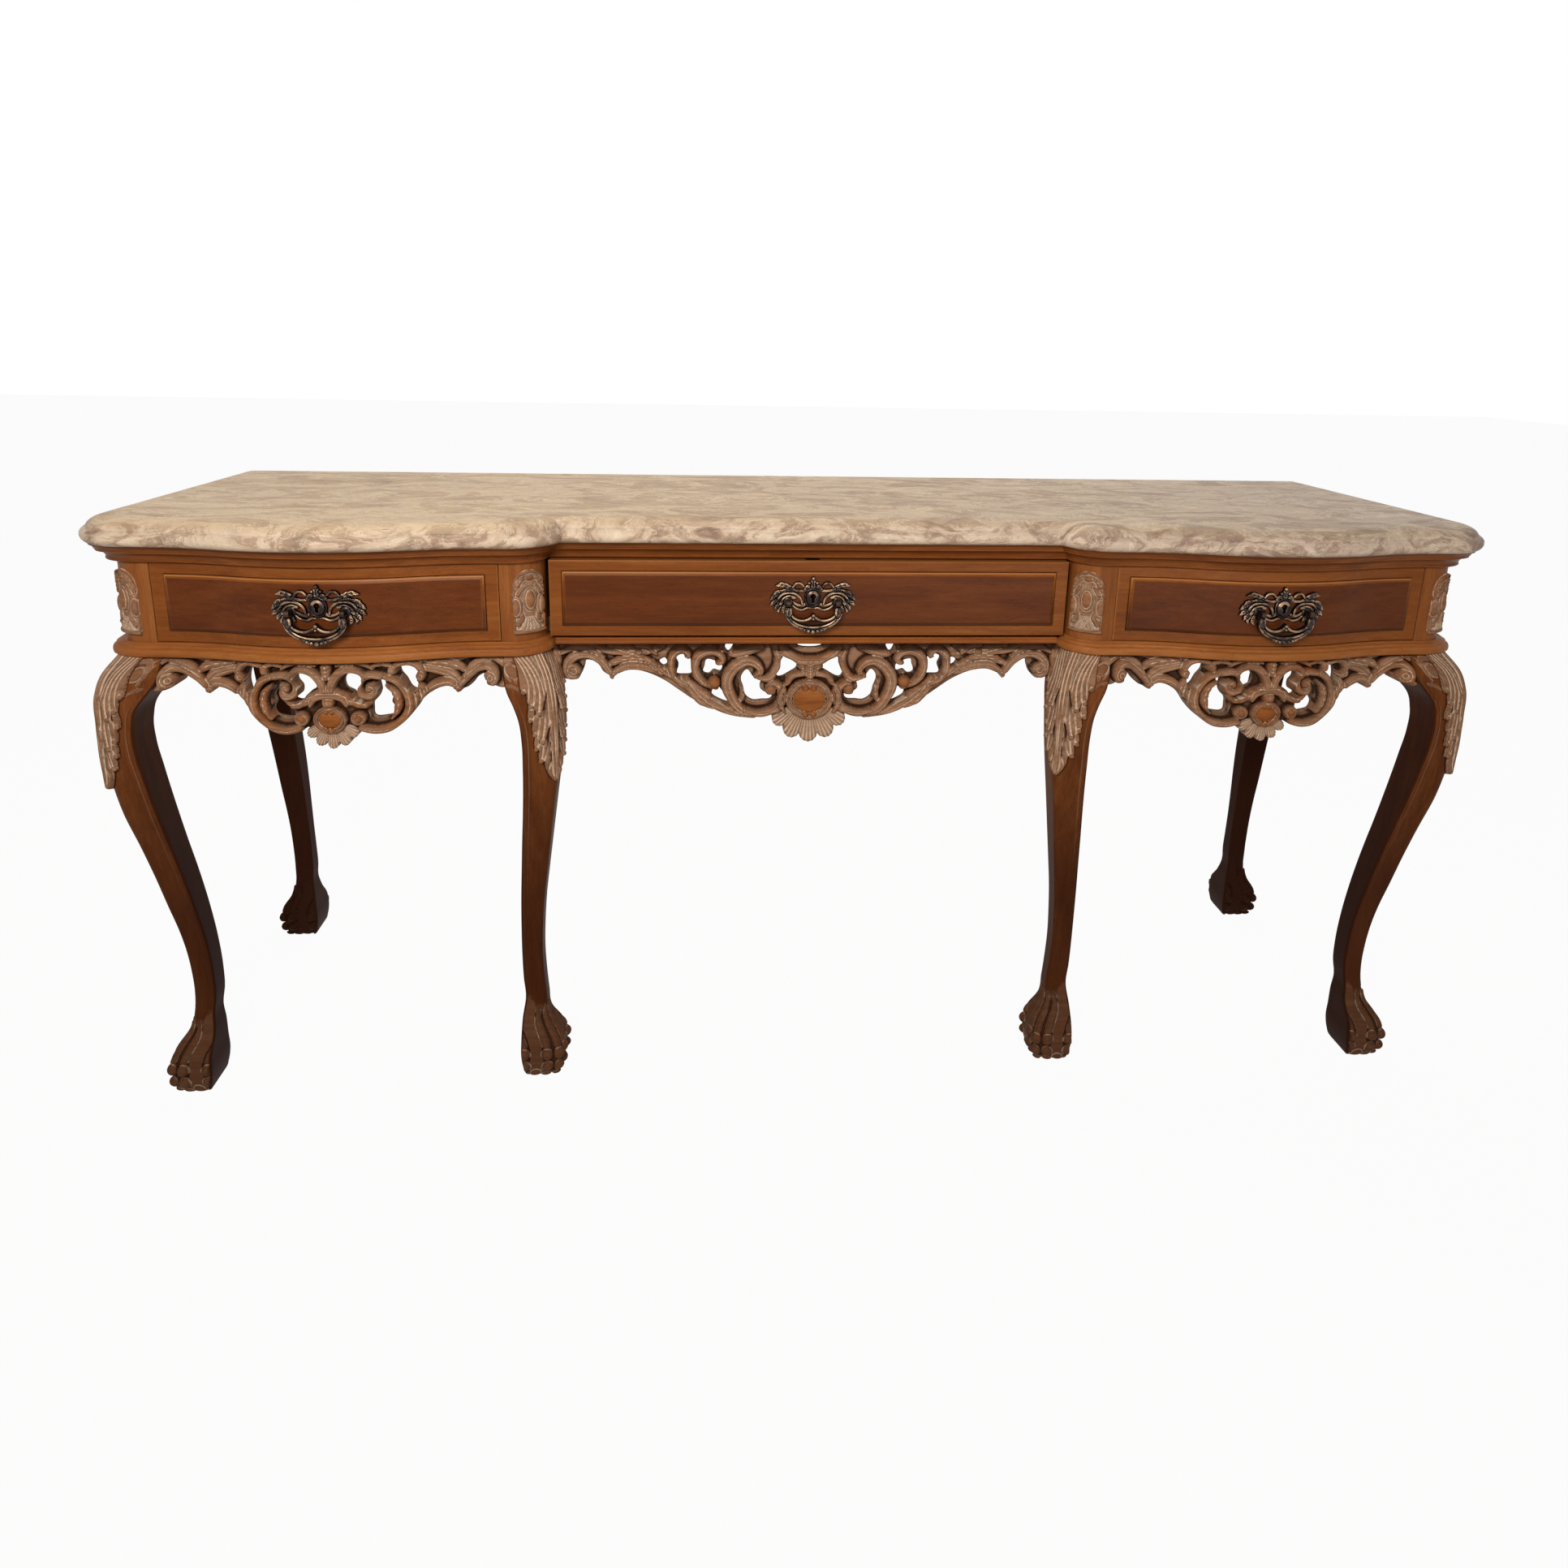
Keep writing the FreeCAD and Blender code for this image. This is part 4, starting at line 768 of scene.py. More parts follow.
def shell_rim(centre, radius, spread, lobes, scallop):
    """Half of a scalloped rim, from the axis outward."""
    points = []
    for angle in np.linspace(0.0, spread, 70):
        lobe = (angle + spread) / (2.0 * spread) * lobes
        r = (radius + scallop * abs(math.sin(math.pi * lobe)) ** 0.6) * (1.0 - 0.07 * (angle / spread) ** 2)
        points.append((centre[0] + r * math.sin(math.radians(angle)),
                       centre[1] - r * math.cos(math.radians(angle))))
    return points


def cartouche(field, centre, radius):
    """A broad amber dome between two thin C-scrolls that end in paired balls."""
    level = centre[1]
    field.ball(centre, radius, 0.4, 2.0, oval=0.88)
    field.ring(centre, radius * 0.93, radius * 0.13, 2.0, 1.3, oval=0.88)
    field.ball(centre, radius * 0.70, 1.4, 2.6, lime=0.0, oval=0.82)
    arm = [(h, level + 0.86 * k) for h, k in arc_points((0.0, 0.0), radius * 0.77, 74, -74, 13)]
    field.stroke(arm, radius * 0.11, 0.9, 0.9, 2.2, 1.8, 1, "round", 1.0)
    for across, high in ((0.165, 0.52), (0.165, -0.66)):
        field.ball((across * radius, level + high * radius), radius * 0.14, 2.2, 2.4, lime=0.1)


def pavilion_field(step):
    """Half of a bowed apron: its sawn outline, its openings, then its members from the lowest up."""
    f = Relief(257.0, 556.0, 694.0, step)
    f.bold = 1.2
    middle = (0.0, 607.0)
    rim = shell_rim(middle, 36.5, 66.0, 5, 7.0)
    sweep = dense([rim[-1], (56, 585), (75, 587), (92, 597), (108, 613), (120, 630), (131, 638.5),
                   (148, 644.5), (160, 643), (166, 636.5)], 1.2)
    wing = dense([(166, 636.5), (178, 641), (186, 648), (193, 656.5), (203, 661), (208, 650.5),
                  (219, 644.5), (228, 643.5), (238, 645.5), (247, 648), (255.5, 650)], 1.2)
    f.edge(whole(np.vstack([rim, sweep[1:], wing[1:], [(256.0, 650.5), (256.0, 691.5), (0.0, 691.5)]])))
    holes = (
        ((19, 661), (28, 670), (43, 668.5), (44.5, 661), (38.5, 650.5), (40, 640), (49.6, 632.5),
         (43, 630.4), (34, 635.5), (29.5, 643), (20.5, 649)),
        ((65.5, 658), (70, 656.5), (70.5, 650.5), (79, 635.5), (77, 626.5), (81.5, 616), (79, 608.5),
         (68.5, 605.5), (53.5, 607), (53, 616), (54, 625), (61, 632.5), (65, 641.5)),
        ((91, 676), (107.5, 674.5), (112.5, 664), (113.5, 649), (110.5, 641), (107.5, 642), (97, 659.5),
         (91.5, 668.5)))
    for hole in holes:
        f.edge(dense(hole, 1.0, closed=True), hole=True, grow=1.0)
    f.z[:] = APRON_GROUND
    f.stroke([(116, 690), (140, 684), (165, 688), (190, 690)], 12, 0.6, 0.4, -1.0, 3.0, 3, "leaf")
    f.stroke([(122, 676), (140, 672), (158, 664), (172, 650)], 13, 0.7, 0.5, -0.5, 3.5, 3)
    f.stroke([(130, 683), (150, 681), (170, 674), (182, 664)], 11, 0.5, 0.4, 0.0, 3.5, 2, "leaf")
    f.stroke([(124, 641), (140, 651), (155, 653), (167, 644)], 12, 0.8, 0.8, 0.5, 3.5, 2)
    f.volute((166, 642), 7.0, 60, 1.1, 4.0, 1.0, 3.0)
    f.stroke([(170, 649), (181, 662), (195, 674), (209, 676), (219, 665), (217, 654), (210, 653)], 12,
             0.7, 0.6, 1.0, 4.0, 2)
    f.stroke([(176, 662), (188, 676), (204, 685), (222, 686)], 9, 0.4, 0.5, 0.4, 3.0, 2)
    f.stroke([(214, 688), (232, 680), (244, 668), (248, 654)], 12, 0.6, 0.5, -0.8, 3.4, 2)
    f.volute((212, 660), 9.5, 200, -1.3, 4.6, 1.2, 3.6)
    f.stroke([(96, 668), (109, 652), (115, 632), (109, 609), (94, 594), (72, 588)], 15, 0.5, 0.5, -0.5,
             4.0, 3)
    f.stroke([(114, 658), (122, 642), (122, 630), (112, 612)], 9, 0.3, 0.3, -0.8, 3.0, 2, "leaf")
    f.stroke([(72, 668), (89, 660), (101, 645), (105, 625), (98, 606), (83, 594), (60, 590), (42, 594)],
             12, 0.6, 0.8, 1.0, 4.2, 2)
    f.stroke([(76, 654), (86, 644), (90, 630), (87, 616), (80, 606)], 9, 0.4, 0.4, 0.6, 3.2, 3, "leaf")
    f.stroke([(70, 668), (56, 670), (44, 664), (40, 652), (46, 642), (57, 640), (64, 648), (60, 656),
              (53, 655)], 9.5, 0.9, 0.5, 1.6, 4.0, 2)
    f.ball((54.5, 650.5), 5.0, 2.4, 3.4)
    f.stroke([(9, 650), (19, 641), (34, 632), (49, 628), (61, 633)], 11, 0.5, 0.3, 0.8, 3.4, 3, "leaf")
    f.stroke([(2, 630), (4, 648), (9, 664), (20, 676), (33, 679), (44, 674), (49, 668)], 10, 0.9, 0.6,
             1.6, 4.0, 3)
    f.stroke([(14, 684), (30, 689), (48, 686), (60, 678)], 8, 0.5, 0.4, -0.4, 3.0, 2)
    f.stroke([(0, 668), (0, 690)], 11, 0.7, 0.2, 1.4, 3.6, 2, "leaf")
    f.stroke([(60, 682), (72, 686), (84, 680)], 9, 0.5, 0.5, -0.6, 3.2, 2)
    f.stroke([(82, 672), (90, 682), (104, 686), (116, 681), (122, 668), (118, 659), (112, 661)], 9, 0.7,
             0.5, 1.2, 3.8, 2)
    f.ball((85, 675), 6.5, 1.2, 3.6)
    f.volute((119, 664), 7.5, 90, -1.2, 4.0, 1.4, 3.4)
    f.shell(middle, 20.0, 44.0, 66.0, 5, -2.0, 3.6)
    f.ball((37.5, 608.5), 10.0, 0.8, 1.6)
    f.ring((37.5, 608.5), 8.0, 4.0, 1.8, 2.2)
    f.ball((37.5, 608.5), 5.6, 2.6, 3.2, lime=0.35)
    f.stroke([(24, 628), (20, 636), (8, 641), (0, 642)], 8, 0.6, 0.9, 1.2, 3.2, 2)
    cartouche(f, middle, 22.0)
    f.settle(APRON_ROLL, APRON_DROP, APRON_GAIN)
    f.seat(SEAT_LOW, Z_BOARD)
    return f


def centre_field(step):
    """Half of the straight apron: its sawn outline, its openings, then its members from the lowest up."""
    f = Relief(372.0, 536.0, 697.0, step)
    middle = (0.0, 610.5)
    rim = shell_rim(middle, 57.5, 68.0, 5, 10.0)
    sweep = dense([rim[-1], (78, 581.5), (101, 583), (125, 587), (148, 595), (171.6, 608), (191, 622),
                   (210.6, 636), (234, 647.6), (253.5, 652.7), (269, 652.7), (279, 649.5),
                   (284.7, 641.7)], 1.2)
    wing = dense([(284.7, 641.7), (292.5, 645.6), (299.5, 650.7), (304, 659), (312, 666), (323.7, 667),
                  (325.6, 659), (331.5, 645.6), (341, 638), (351, 639), (369, 642)], 1.2)
    f.edge(whole(np.vstack([rim, sweep[1:], wing[1:], [(371.0, 645.0), (371.0, 694.0), (0.0, 694.0)]])))
    holes = (
        ((41, 673), (21.4, 665), (19.5, 655.4), (29, 647.6), (46.8, 641.7), (48.7, 645.6), (43, 659)),
        ((91.6, 651.5), (82, 640), (72, 636), (73, 624), (64, 616.4), (54, 616.4), (56.5, 606.6),
         (70, 604.7), (82, 604), (91.6, 610.5), (95.5, 624), (99.4, 640)),
        ((140, 622), (134.5, 626), (128.7, 620), (119, 606.6), (117, 602.7), (132.6, 606.6),
         (142, 614.4)),
        ((152, 659), (150, 667), (138.4, 665), (128.7, 659), (130.6, 649.5), (140.4, 651.5),
         (148, 645.6), (154, 647.6)),
        ((193, 671), (187, 675), (175.5, 671), (173.5, 659), (173.5, 645.6), (183, 644.5), (193, 645.6),
         (190, 659)),
        ((218, 665), (210.6, 670), (208.6, 661), (212.5, 658.5)),
        ((123.6, 691), (113, 691), (119, 680)))
    for hole in holes:
        f.edge(dense(hole, 1.0, closed=True), hole=True, grow=1.0)
    f.edge(np.array([(-17.0, 687.0), (-9.0, 685.2), (0.0, 684.8), (9.0, 685.2), (17.0, 687.0),
                     (18.0, 692.0), (-18.0, 692.0)]), hole=True)
    f.z[:] = APRON_GROUND
    f.stroke([(212, 690), (236, 684), (262, 686), (290, 691)], 12, 0.6, 0.4, -1.2, 3.0, 3, "leaf")
    f.stroke([(226, 668), (250, 674), (276, 670), (296, 660)], 12, 0.5, 0.5, -0.6, 3.4, 3, "leaf")
    f.stroke([(262, 680), (288, 684), (312, 690), (336, 690)], 10, 0.4, 0.6, -0.4, 3.2, 2)
    f.stroke([(214, 652), (240, 661), (264, 662), (285, 650)], 13, 0.7, 0.8, 0.4, 3.6, 3)
    f.volute((284, 648), 7.5, 60, 1.1, 4.2, 0.8, 3.2)
    f.stroke([(288, 654), (300, 670), (318, 681), (338, 677), (349, 662), (345, 648), (335, 647)], 14,
             0.7, 0.6, 1.0, 4.0, 3)
    f.stroke([(296, 676), (316, 688), (340, 689), (360, 680)], 10, 0.4, 0.6, 0.2, 3.2, 2)
    f.volute((339, 656), 11.0, 200, -1.4, 5.0, 1.4, 3.6)
    f.stroke([(366, 690), (362, 672), (366, 652)], 12, 0.8, 0.8, -0.8, 3.0, 2)
    f.stroke([(82, 585), (107, 590), (133, 602), (155, 617), (174, 631), (193, 645), (212, 656),
              (228, 666)], 18, 0.6, 0.5, -0.4, 4.2, 3)
    f.stroke([(184, 642), (172, 624), (158, 608), (140, 598)], 11, 0.8, 0.3, 1.4, 3.6, 2, "leaf")
    f.stroke([(177, 634), (193, 643), (201, 662), (197, 680), (185, 687), (176, 679), (181, 671)], 12,
             0.5, 0.6, 0.8, 4.4, 2)
    f.stroke([(136, 629), (157, 640), (167, 659), (162, 677), (146, 685), (132, 681), (127, 671),
              (134, 666)], 14, 0.5, 0.6, 1.4, 4.6, 2)
    f.ball((139, 637), 9.2, 1.2, 4.8, lime=0.25)
    f.ball((247, 684), 6.0, 0.8, 3.4)
    f.stroke([(222, 680), (236, 690), (252, 692)], 9, 0.5, 0.5, -0.2, 3.0, 1)
    f.stroke([(128, 690), (110, 681), (94, 684), (70, 690)], 14, 0.6, 0.6, 0.2, 4.0, 2)
    f.stroke([(106, 604), (98, 615), (98, 630), (103, 642)], 10, 0.5, 0.4, 0.2, 3.6, 2, "leaf")
    f.stroke([(72, 588), (100, 596), (116, 618), (120, 643), (108, 662), (92, 670), (78, 665), (72, 654),
              (79, 647)], 18, 0.6, 0.45, 1.2, 5.0, 3)
    f.stroke([(52, 692), (46, 674), (50, 655), (62, 643), (76, 645)], 14, 0.8, 0.5, 0.8, 4.6, 2)
    f.stroke([(62, 631), (55, 637), (45, 632), (40, 613), (49, 597), (69, 590), (92, 594)], 15, 0.45, 0.5,
             1.8, 4.8, 2)
    f.ball((57, 625), 8.0, 1.8, 4.4, lime=0.5)
    f.stroke([(0, 669), (16, 671), (30, 678), (42, 690)], 15, 1.0, 0.7, 1.2, 4.6, 2, swell=0.1)
    f.shell(middle, 32.0, 68.0, 68.0, 5, -2.0, 4.0)
    f.stroke([(34, 634), (26, 646), (12, 650), (0, 650)], 10, 0.6, 1.0, 0.8, 3.4, 2, swell=0.1)
    f.stroke([(4, 648), (9, 658), (18, 661)], 9, 0.9, 0.4, 1.2, 3.6, 2, "leaf")
    f.stroke([(0, 644), (0, 669)], 13, 0.8, 0.3, 1.6, 3.8, 3, "leaf")
    f.stroke([(36, 590), (42, 604), (41, 622), (36, 634)], 8, 0.6, 0.6, 0.4, 3.0, 2)
    cartouche(f, middle, 35.0)
    f.settle(APRON_ROLL, APRON_DROP, APRON_GAIN)
    f.seat(SEAT_LOW, Z_BOARD)
    return f


def knee_flare(h, k):
    """How far an apron end comes forward to meet the knee beside it."""
    outer = np.interp(Z_BOARD - k, *zip(*END_OUTER))
    inner = np.interp(Z_BOARD - k, *zip(*INNER_FRONT))
    reach = np.where(h > 0.0, outer, inner) + PAVILION_FACE - KNEE_INSET
    return smooth_share(np.abs(h), KNEE_START, KNEE_FULL) * np.maximum(reach, 0.0)


bowed = pavilion_field(APRON_STEP)
points, faces, values = bowed.build(
    lambda h, k, z: np.stack([h + X_PAVILION, bow_y(h) + PAVILION_FACE - knee_flare(h, k) - z, k], 1),
    lambda h, k: np.stack([h + X_PAVILION, bow_y(h) + PAVILION_FACE + APRON_DEPTH, k], 1))
pair("carved_apron", "apron", points, faces, carved, CARVED_SHARP, values)
straight = centre_field(CENTRE_STEP)
points, faces, values = straight.build(
    lambda h, k, z: np.stack([h, CENTRE_FACE - z, k], 1),
    lambda h, k: np.stack([h, np.full(len(h), CENTRE_FACE + APRON_DEPTH), k], 1))
piece("carved_apron_centre", points, faces, "table", carved, ["apron_centre"], CARVED_SHARP,
      values)


# Cabriole legs: more sawn lines as drop and reach, with carved knees and paws
INNER_OUTER = (
    (0, 0), (22, 12), (50, 19.5), (90, 22), (130, 20.5), (170, 16), (232, 7), (295, -2.5), (352, -11),
    (400, -17.9), (447, -22.5), (495, -25), (537, -24), (572, -21.5))
INNER_INNER = (
    (0, 56), (26, 54.5), (50, 49.5), (70, 41.5), (92, 35), (125, 32), (170, 33), (245, 38.5), (295, 43.5),
    (340, 47.5), (400, 52.5), (445, 55), (495, 56.5), (540, 56), (572, 54))
INNER_BACK = (
    (0, 56), (26, 55), (50, 52), (70, 46), (92, 40), (125, 36.5), (170, 38), (245, 45), (295, 51),
    (340, 56), (400, 62.5), (445, 66.5), (495, 69), (540, 70), (572, 69.5))
REAR_BACK = (
    (0, 0), (50, 2), (110, 4), (170, 5), (230, 3.5), (281, -1.5), (334, -9.3), (390, -19.4), (430, -26.5),
    (469, -31), (505, -32), (540, -30), (572, -26.5))
ARRIS = (
    (0, 33), (50, 36), (130, 31), (182, 19), (224, 12), (281, 9.5), (572, 8.5), (610, 12), (640, 14),
    (690, 14))
PAW = ((602, -50, -10), (628, -50, 7.5), (656, -50, 12), (676, -47, 10.5), (686, -44, 7.5), (690, -41, 3))
KNEE_FIELD = (62.0, 498.0, 692.0, 0.6)
LEG_REACH = 37.4
REAR_REACH = 11.9
# Depth given to the inner faces of the legs, so that painted shade darkens them
INNER_SHADE = 0.9
SMALL_ARRIS = 3.0
BEAD_IN, BEAD_WIDTH, BEAD_RISE = 2.6, 1.7, 1.3
QUIRK_IN, QUIRK_WIDTH, QUIRK_DEEP, QUIRK_WASH = 6.0, 0.9, 0.8, 0.22
SCROLL_START, SCROLL_FADE = 24.0, 6.0
LEG_SHARP = 60.0
LEAF_CURL, LEAF_WASH, LEAF_VEIN, VEIN_DEEP, VEIN_PALE = 4.6, 0.92, 1.3, 1.9, 0.68
TIP_RADIUS, TIP_RISE = 3.4, 2.6
LEAF_LOW, LEAF_HIGH = -2.2, 6.0
LEAF_KICK = ((505.0, 530.0, 575.0, 692.0), (5.5, 3.4, 1.2, 0.6))
TOE_WASH, TOE_DUST, TOE_FOOT = 0.7, 0.2, -3.2
ANKLE_DEEP, ANKLE_FADE = -3.4, ((80.0, 112.0), (1.0, 0.0))
ANKLE_WASH = ((70.0, 110.0), (0.70, 0.0))
BEAD_FADE = ((120.0, 200.0, 640.0, 655.0), (0.0, 0.7, 1.0, 0.0))
QUIRK_FADE = ((300.0, 560.0, 650.0), (0.0, 1.0, 0.0))
SOME_WASH, SOME_RISE = 0.02, 0.05
LEG_COLUMNS = (46, 46, 44, 4, 26, 4, 12, 4)
LEG_DROPS = np.concatenate([np.arange(0.0, 190.0, 1.1), np.arange(190.0, 576.0, 8.0),
                            np.arange(576.0, 690.5, 1.2)])


def knee_relief():
    """Acanthus leaf over the arris, as height over the wood at a distance from the arris."""
    f = Relief(*KNEE_FIELD)
    f.lime[:] = 0.0
    lower = (
        (0, 505), (5, 511), (9, 519), (12.5, 528), (14, 539), (16.5, 535.5), (20, 538), (22, 546),
        (21, 557), (23.5, 553.5), (26.5, 556.5), (28, 566), (26, 582), (16, 600), (0, 604))
    middle = (
        (0, 600), (8, 586), (11.5, 573), (13.5, 566), (17, 564.5), (20.5, 570), (22, 579), (25, 575),
        (29, 578.5), (30.5, 588), (28.5, 600), (31, 596), (34.5, 598.5), (35.5, 607), (33, 622),
        (20, 646), (0, 655))
    upper = (
        (0, 648), (8, 638), (12, 625), (14.5, 615), (16.5, 608.5), (20.5, 606.5), (24, 612), (25.5, 622),
        (28.5, 617), (33, 621), (34.5, 630), (33.5, 640), (36.5, 637), (40, 640.5), (40.5, 649),
        (39, 661), (36, 676), (34.5, 692), (34.5, 740), (0, 740))
    low_veins = (
        ((3, 600), (4, 570), (5, 545), (9, 523)), ((6, 600), (9, 577), (10, 558), (14, 541)),
        ((9, 600), (14, 582), (15.5, 564), (17.5, 540)), ((13, 600), (19, 584), (20.5, 570), (24, 557)))
    mid_veins = (
        ((4, 645), (6, 618), (7.5, 595), (12, 574)), ((8, 645), (11.5, 622), (12.5, 600), (17, 568)),
        ((13, 645), (18, 626), (19, 606), (22, 581)), ((18, 645), (24, 630), (25, 612), (28.5, 600)))
    top_veins = (
        ((13, 694), (8.5, 668), (7.5, 640)), ((20, 694), (13, 668), (11, 642), (14.5, 616)),
        ((26, 694), (18.5, 670), (16, 645), (20.5, 610)),
        ((31, 694), (24.5, 672), (22, 650), (25.5, 624)), ((34, 694), (30, 676), (28.5, 655), (33, 623)))
    low_tips = ((24.6, 558.0), (18.2, 539.5))
    mid_tips = ((32.0, 600.5), (26.2, 579.5), (16.8, 568.5))
    top_tips = ((37.0, 642.0), (30.0, 622.0), (20.4, 610.5))
    tiers = ((lower, low_veins, low_tips, -0.4), (middle, mid_veins, mid_tips, 0.0),
             (upper, top_veins, top_tips, 0.6))
    for half, veins, tips, level in tiers:
        f.plate(half, level, LEAF_CURL, LEAF_WASH)
        for line in veins:
            f.vein(line, LEAF_VEIN, VEIN_DEEP, VEIN_PALE)
        for tip in tips:
            f.ball(tip, TIP_RADIUS, level + TIP_RISE, TIP_RISE, LEAF_WASH)
    for a0, a1 in ((0.0, 0.0), (4.4, 1.6)):
        f.stroke([(a0, 692), (a0, 640), (0.6 * (a0 + a1), 580), (a1, 508)], 4.2, 1.0, 0.5, 1.6, 2.6, 1,
                 "round", 0.9, 1.0)
    f.z = np.clip(f.z, LEAF_LOW, LEAF_HIGH)
    f.z = f.z + np.where(f.lime > 0.5, np.interp(f.kk, *LEAF_KICK), 0.0)
    f.settle()
    return f


def scroll_relief():
    """Boss and C-scroll beside the leaf, on the front of the leg only."""
    f = Relief(*KNEE_FIELD)
    f.lime[:] = 0.0
    f.stroke([(30, 690), (37, 684), (47, 684), (55, 677), (56, 666), (52, 656)], 6.0, 0.5, 0.5, 0.6, 2.2,
             2, "band", 1.2, 0.9)
    f.stroke([(39, 640), (45, 645), (52, 649), (60, 650)], 5.0, 0.4, 0.9, 0.2, 2.0, 1, "round", 1.2, 0.5)
    f.ball((45, 669), 10.6, -0.4, 1.2, 0.95)
    f.ball((45, 669), 8.4, 0.8, 3.0, 0.55)
    f.settle()
    return f


def paw_relief():
    """Tendons, knuckles and pads of the toes, and the plain tongue between them."""
    f = Relief(76.0, -3.0, 122.0, 0.8)
    f.z = ANKLE_DEEP * np.interp(f.kk, *ANKLE_FADE)
    f.lime = np.interp(f.kk, *ANKLE_WASH)
    f.fill(dense([(22, 116), (36, 116), (44, 70), (44.5, 44), (43, 2), (27.5, 2), (26.5, 44), (21, 70)],
                 2.0, True), 0.2, TOE_DUST)
    for top, low, width in ((0.0, 0.0, 13.0), (10.0, 18.5, 12.5), (46.0, 53.5, 13.0)):
        f.stroke([(top, 106), (0.5 * (top + low), 84), (low, 66), (low, 54)], width, 0.16, 1.0, -3.0, 6.0,
                 1, "round", 1.6, TOE_DUST, 0.5)
        f.ball((low, 42.0), 9.2, TOE_FOOT, 10.4, TOE_DUST, 1.10, 2.0)
        f.ball((low, 20.5), 9.2, TOE_FOOT, 9.4, TOE_DUST, 1.0, 2.0)
        f.ball((low, 4.5), 7.6, TOE_FOOT, 5.6, TOE_DUST, 0.7, 1.4)
    f.ball((35.5, 8.0), 8.6, -2.0, 5.0, TOE_DUST, 0.9, 1.6)
    f.settle()
    between = f.cavity[:, len(f.h) - 1:]
    f.lime = np.maximum(f.lime, np.interp(between, (0.56, 0.70), (0.0, TOE_WASH)) * (f.kk < 100.0))
    return f


def sample(relief, field, a, z):
    """Value of a relief at a distance from the arris and a height."""
    i = np.clip((np.abs(a) - relief.h[0]) / relief.step, 0.0, len(relief.h) - 1.001)
    j = np.clip((z - relief.k[0]) / relief.step, 0.0, len(relief.k) - 1.001)
    i0, j0 = i.astype(int), j.astype(int)
    u, v = i - i0, j - j0
    low = field[j0, i0] * (1 - u) + field[j0, i0 + 1] * u
    high = field[j0 + 1, i0] * (1 - u) + field[j0 + 1, i0 + 1] * u
    value = low * (1 - v) + high * v
    return np.where((z >= relief.k[0]) & (z <= relief.k[-1]) & (np.abs(a) <= relief.h[-1]), value, 0.0)


knee, scroll, claws = knee_relief(), scroll_relief(), paw_relief()
for made in (knee, scroll, claws):
    made.cavity = made.cavity[:, len(made.h) - 1:]
    made.depth = made.depth[:, len(made.h) - 1:]


def leg_lines(table, shift, heel):
    """One sawn line carried down over the paw."""
    foot = [(drop, shift - back if heel else toe - shift) for drop, back, toe in PAW]
    rows = list(table) + foot
    return hermite(*zip(*rows), LEG_DROPS)


def leg_section(ox, ix, oy, iy, r):
    """Points and outward directions round one level of a leg, along its four sides and four arrises."""
    s = SMALL_ARRIS
    cuts = [((-ix + s, -oy), (ox - r, -oy), None), ((ox - r, -oy + r), r, -90),
            ((ox, -oy + r), (ox, iy - s), None), ((ox - s, iy - s), s, 0),
            ((ox - s, iy), (-ix + s, iy), None), ((-ix + s, iy - s), s, 90),
            ((-ix, iy - s), (-ix, -oy + s), None), ((-ix + s, -oy + s), s, 180)]
    ring, normal = [], []
    for count, (first, second, start) in zip(LEG_COLUMNS, cuts):
        t = np.linspace(0.0, 1.0, count, endpoint=False)
        if start is None:
            first, second = np.array(first), np.array(second)
            ring.append(first + t[:, None] * (second - first))
            along = (second - first) / np.linalg.norm(second - first)
            normal.append(np.tile((along[1], -along[0]), (count, 1)))
        else:
            angle = np.radians(start + 90.0 * t)
            spoke = np.stack([np.cos(angle), np.sin(angle)], 1)
            ring.append(np.array(first) + second * spoke)
            normal.append(spoke)
    return np.vstack(ring), np.vstack(normal)


def tube_faces(rows, cols):
    """Faces of a tube of rings from the top down, with a fan to a middle point at each end."""
    faces = turned(grid_faces(rows, cols, wrap=True))
    top, low = rows * cols, rows * cols + 1
    last = (rows - 1) * cols
    for j in range(cols):
        k = (j + 1) % cols
        faces.append([j, k, top])
        faces.append([last + k, last + j, low])
    return faces


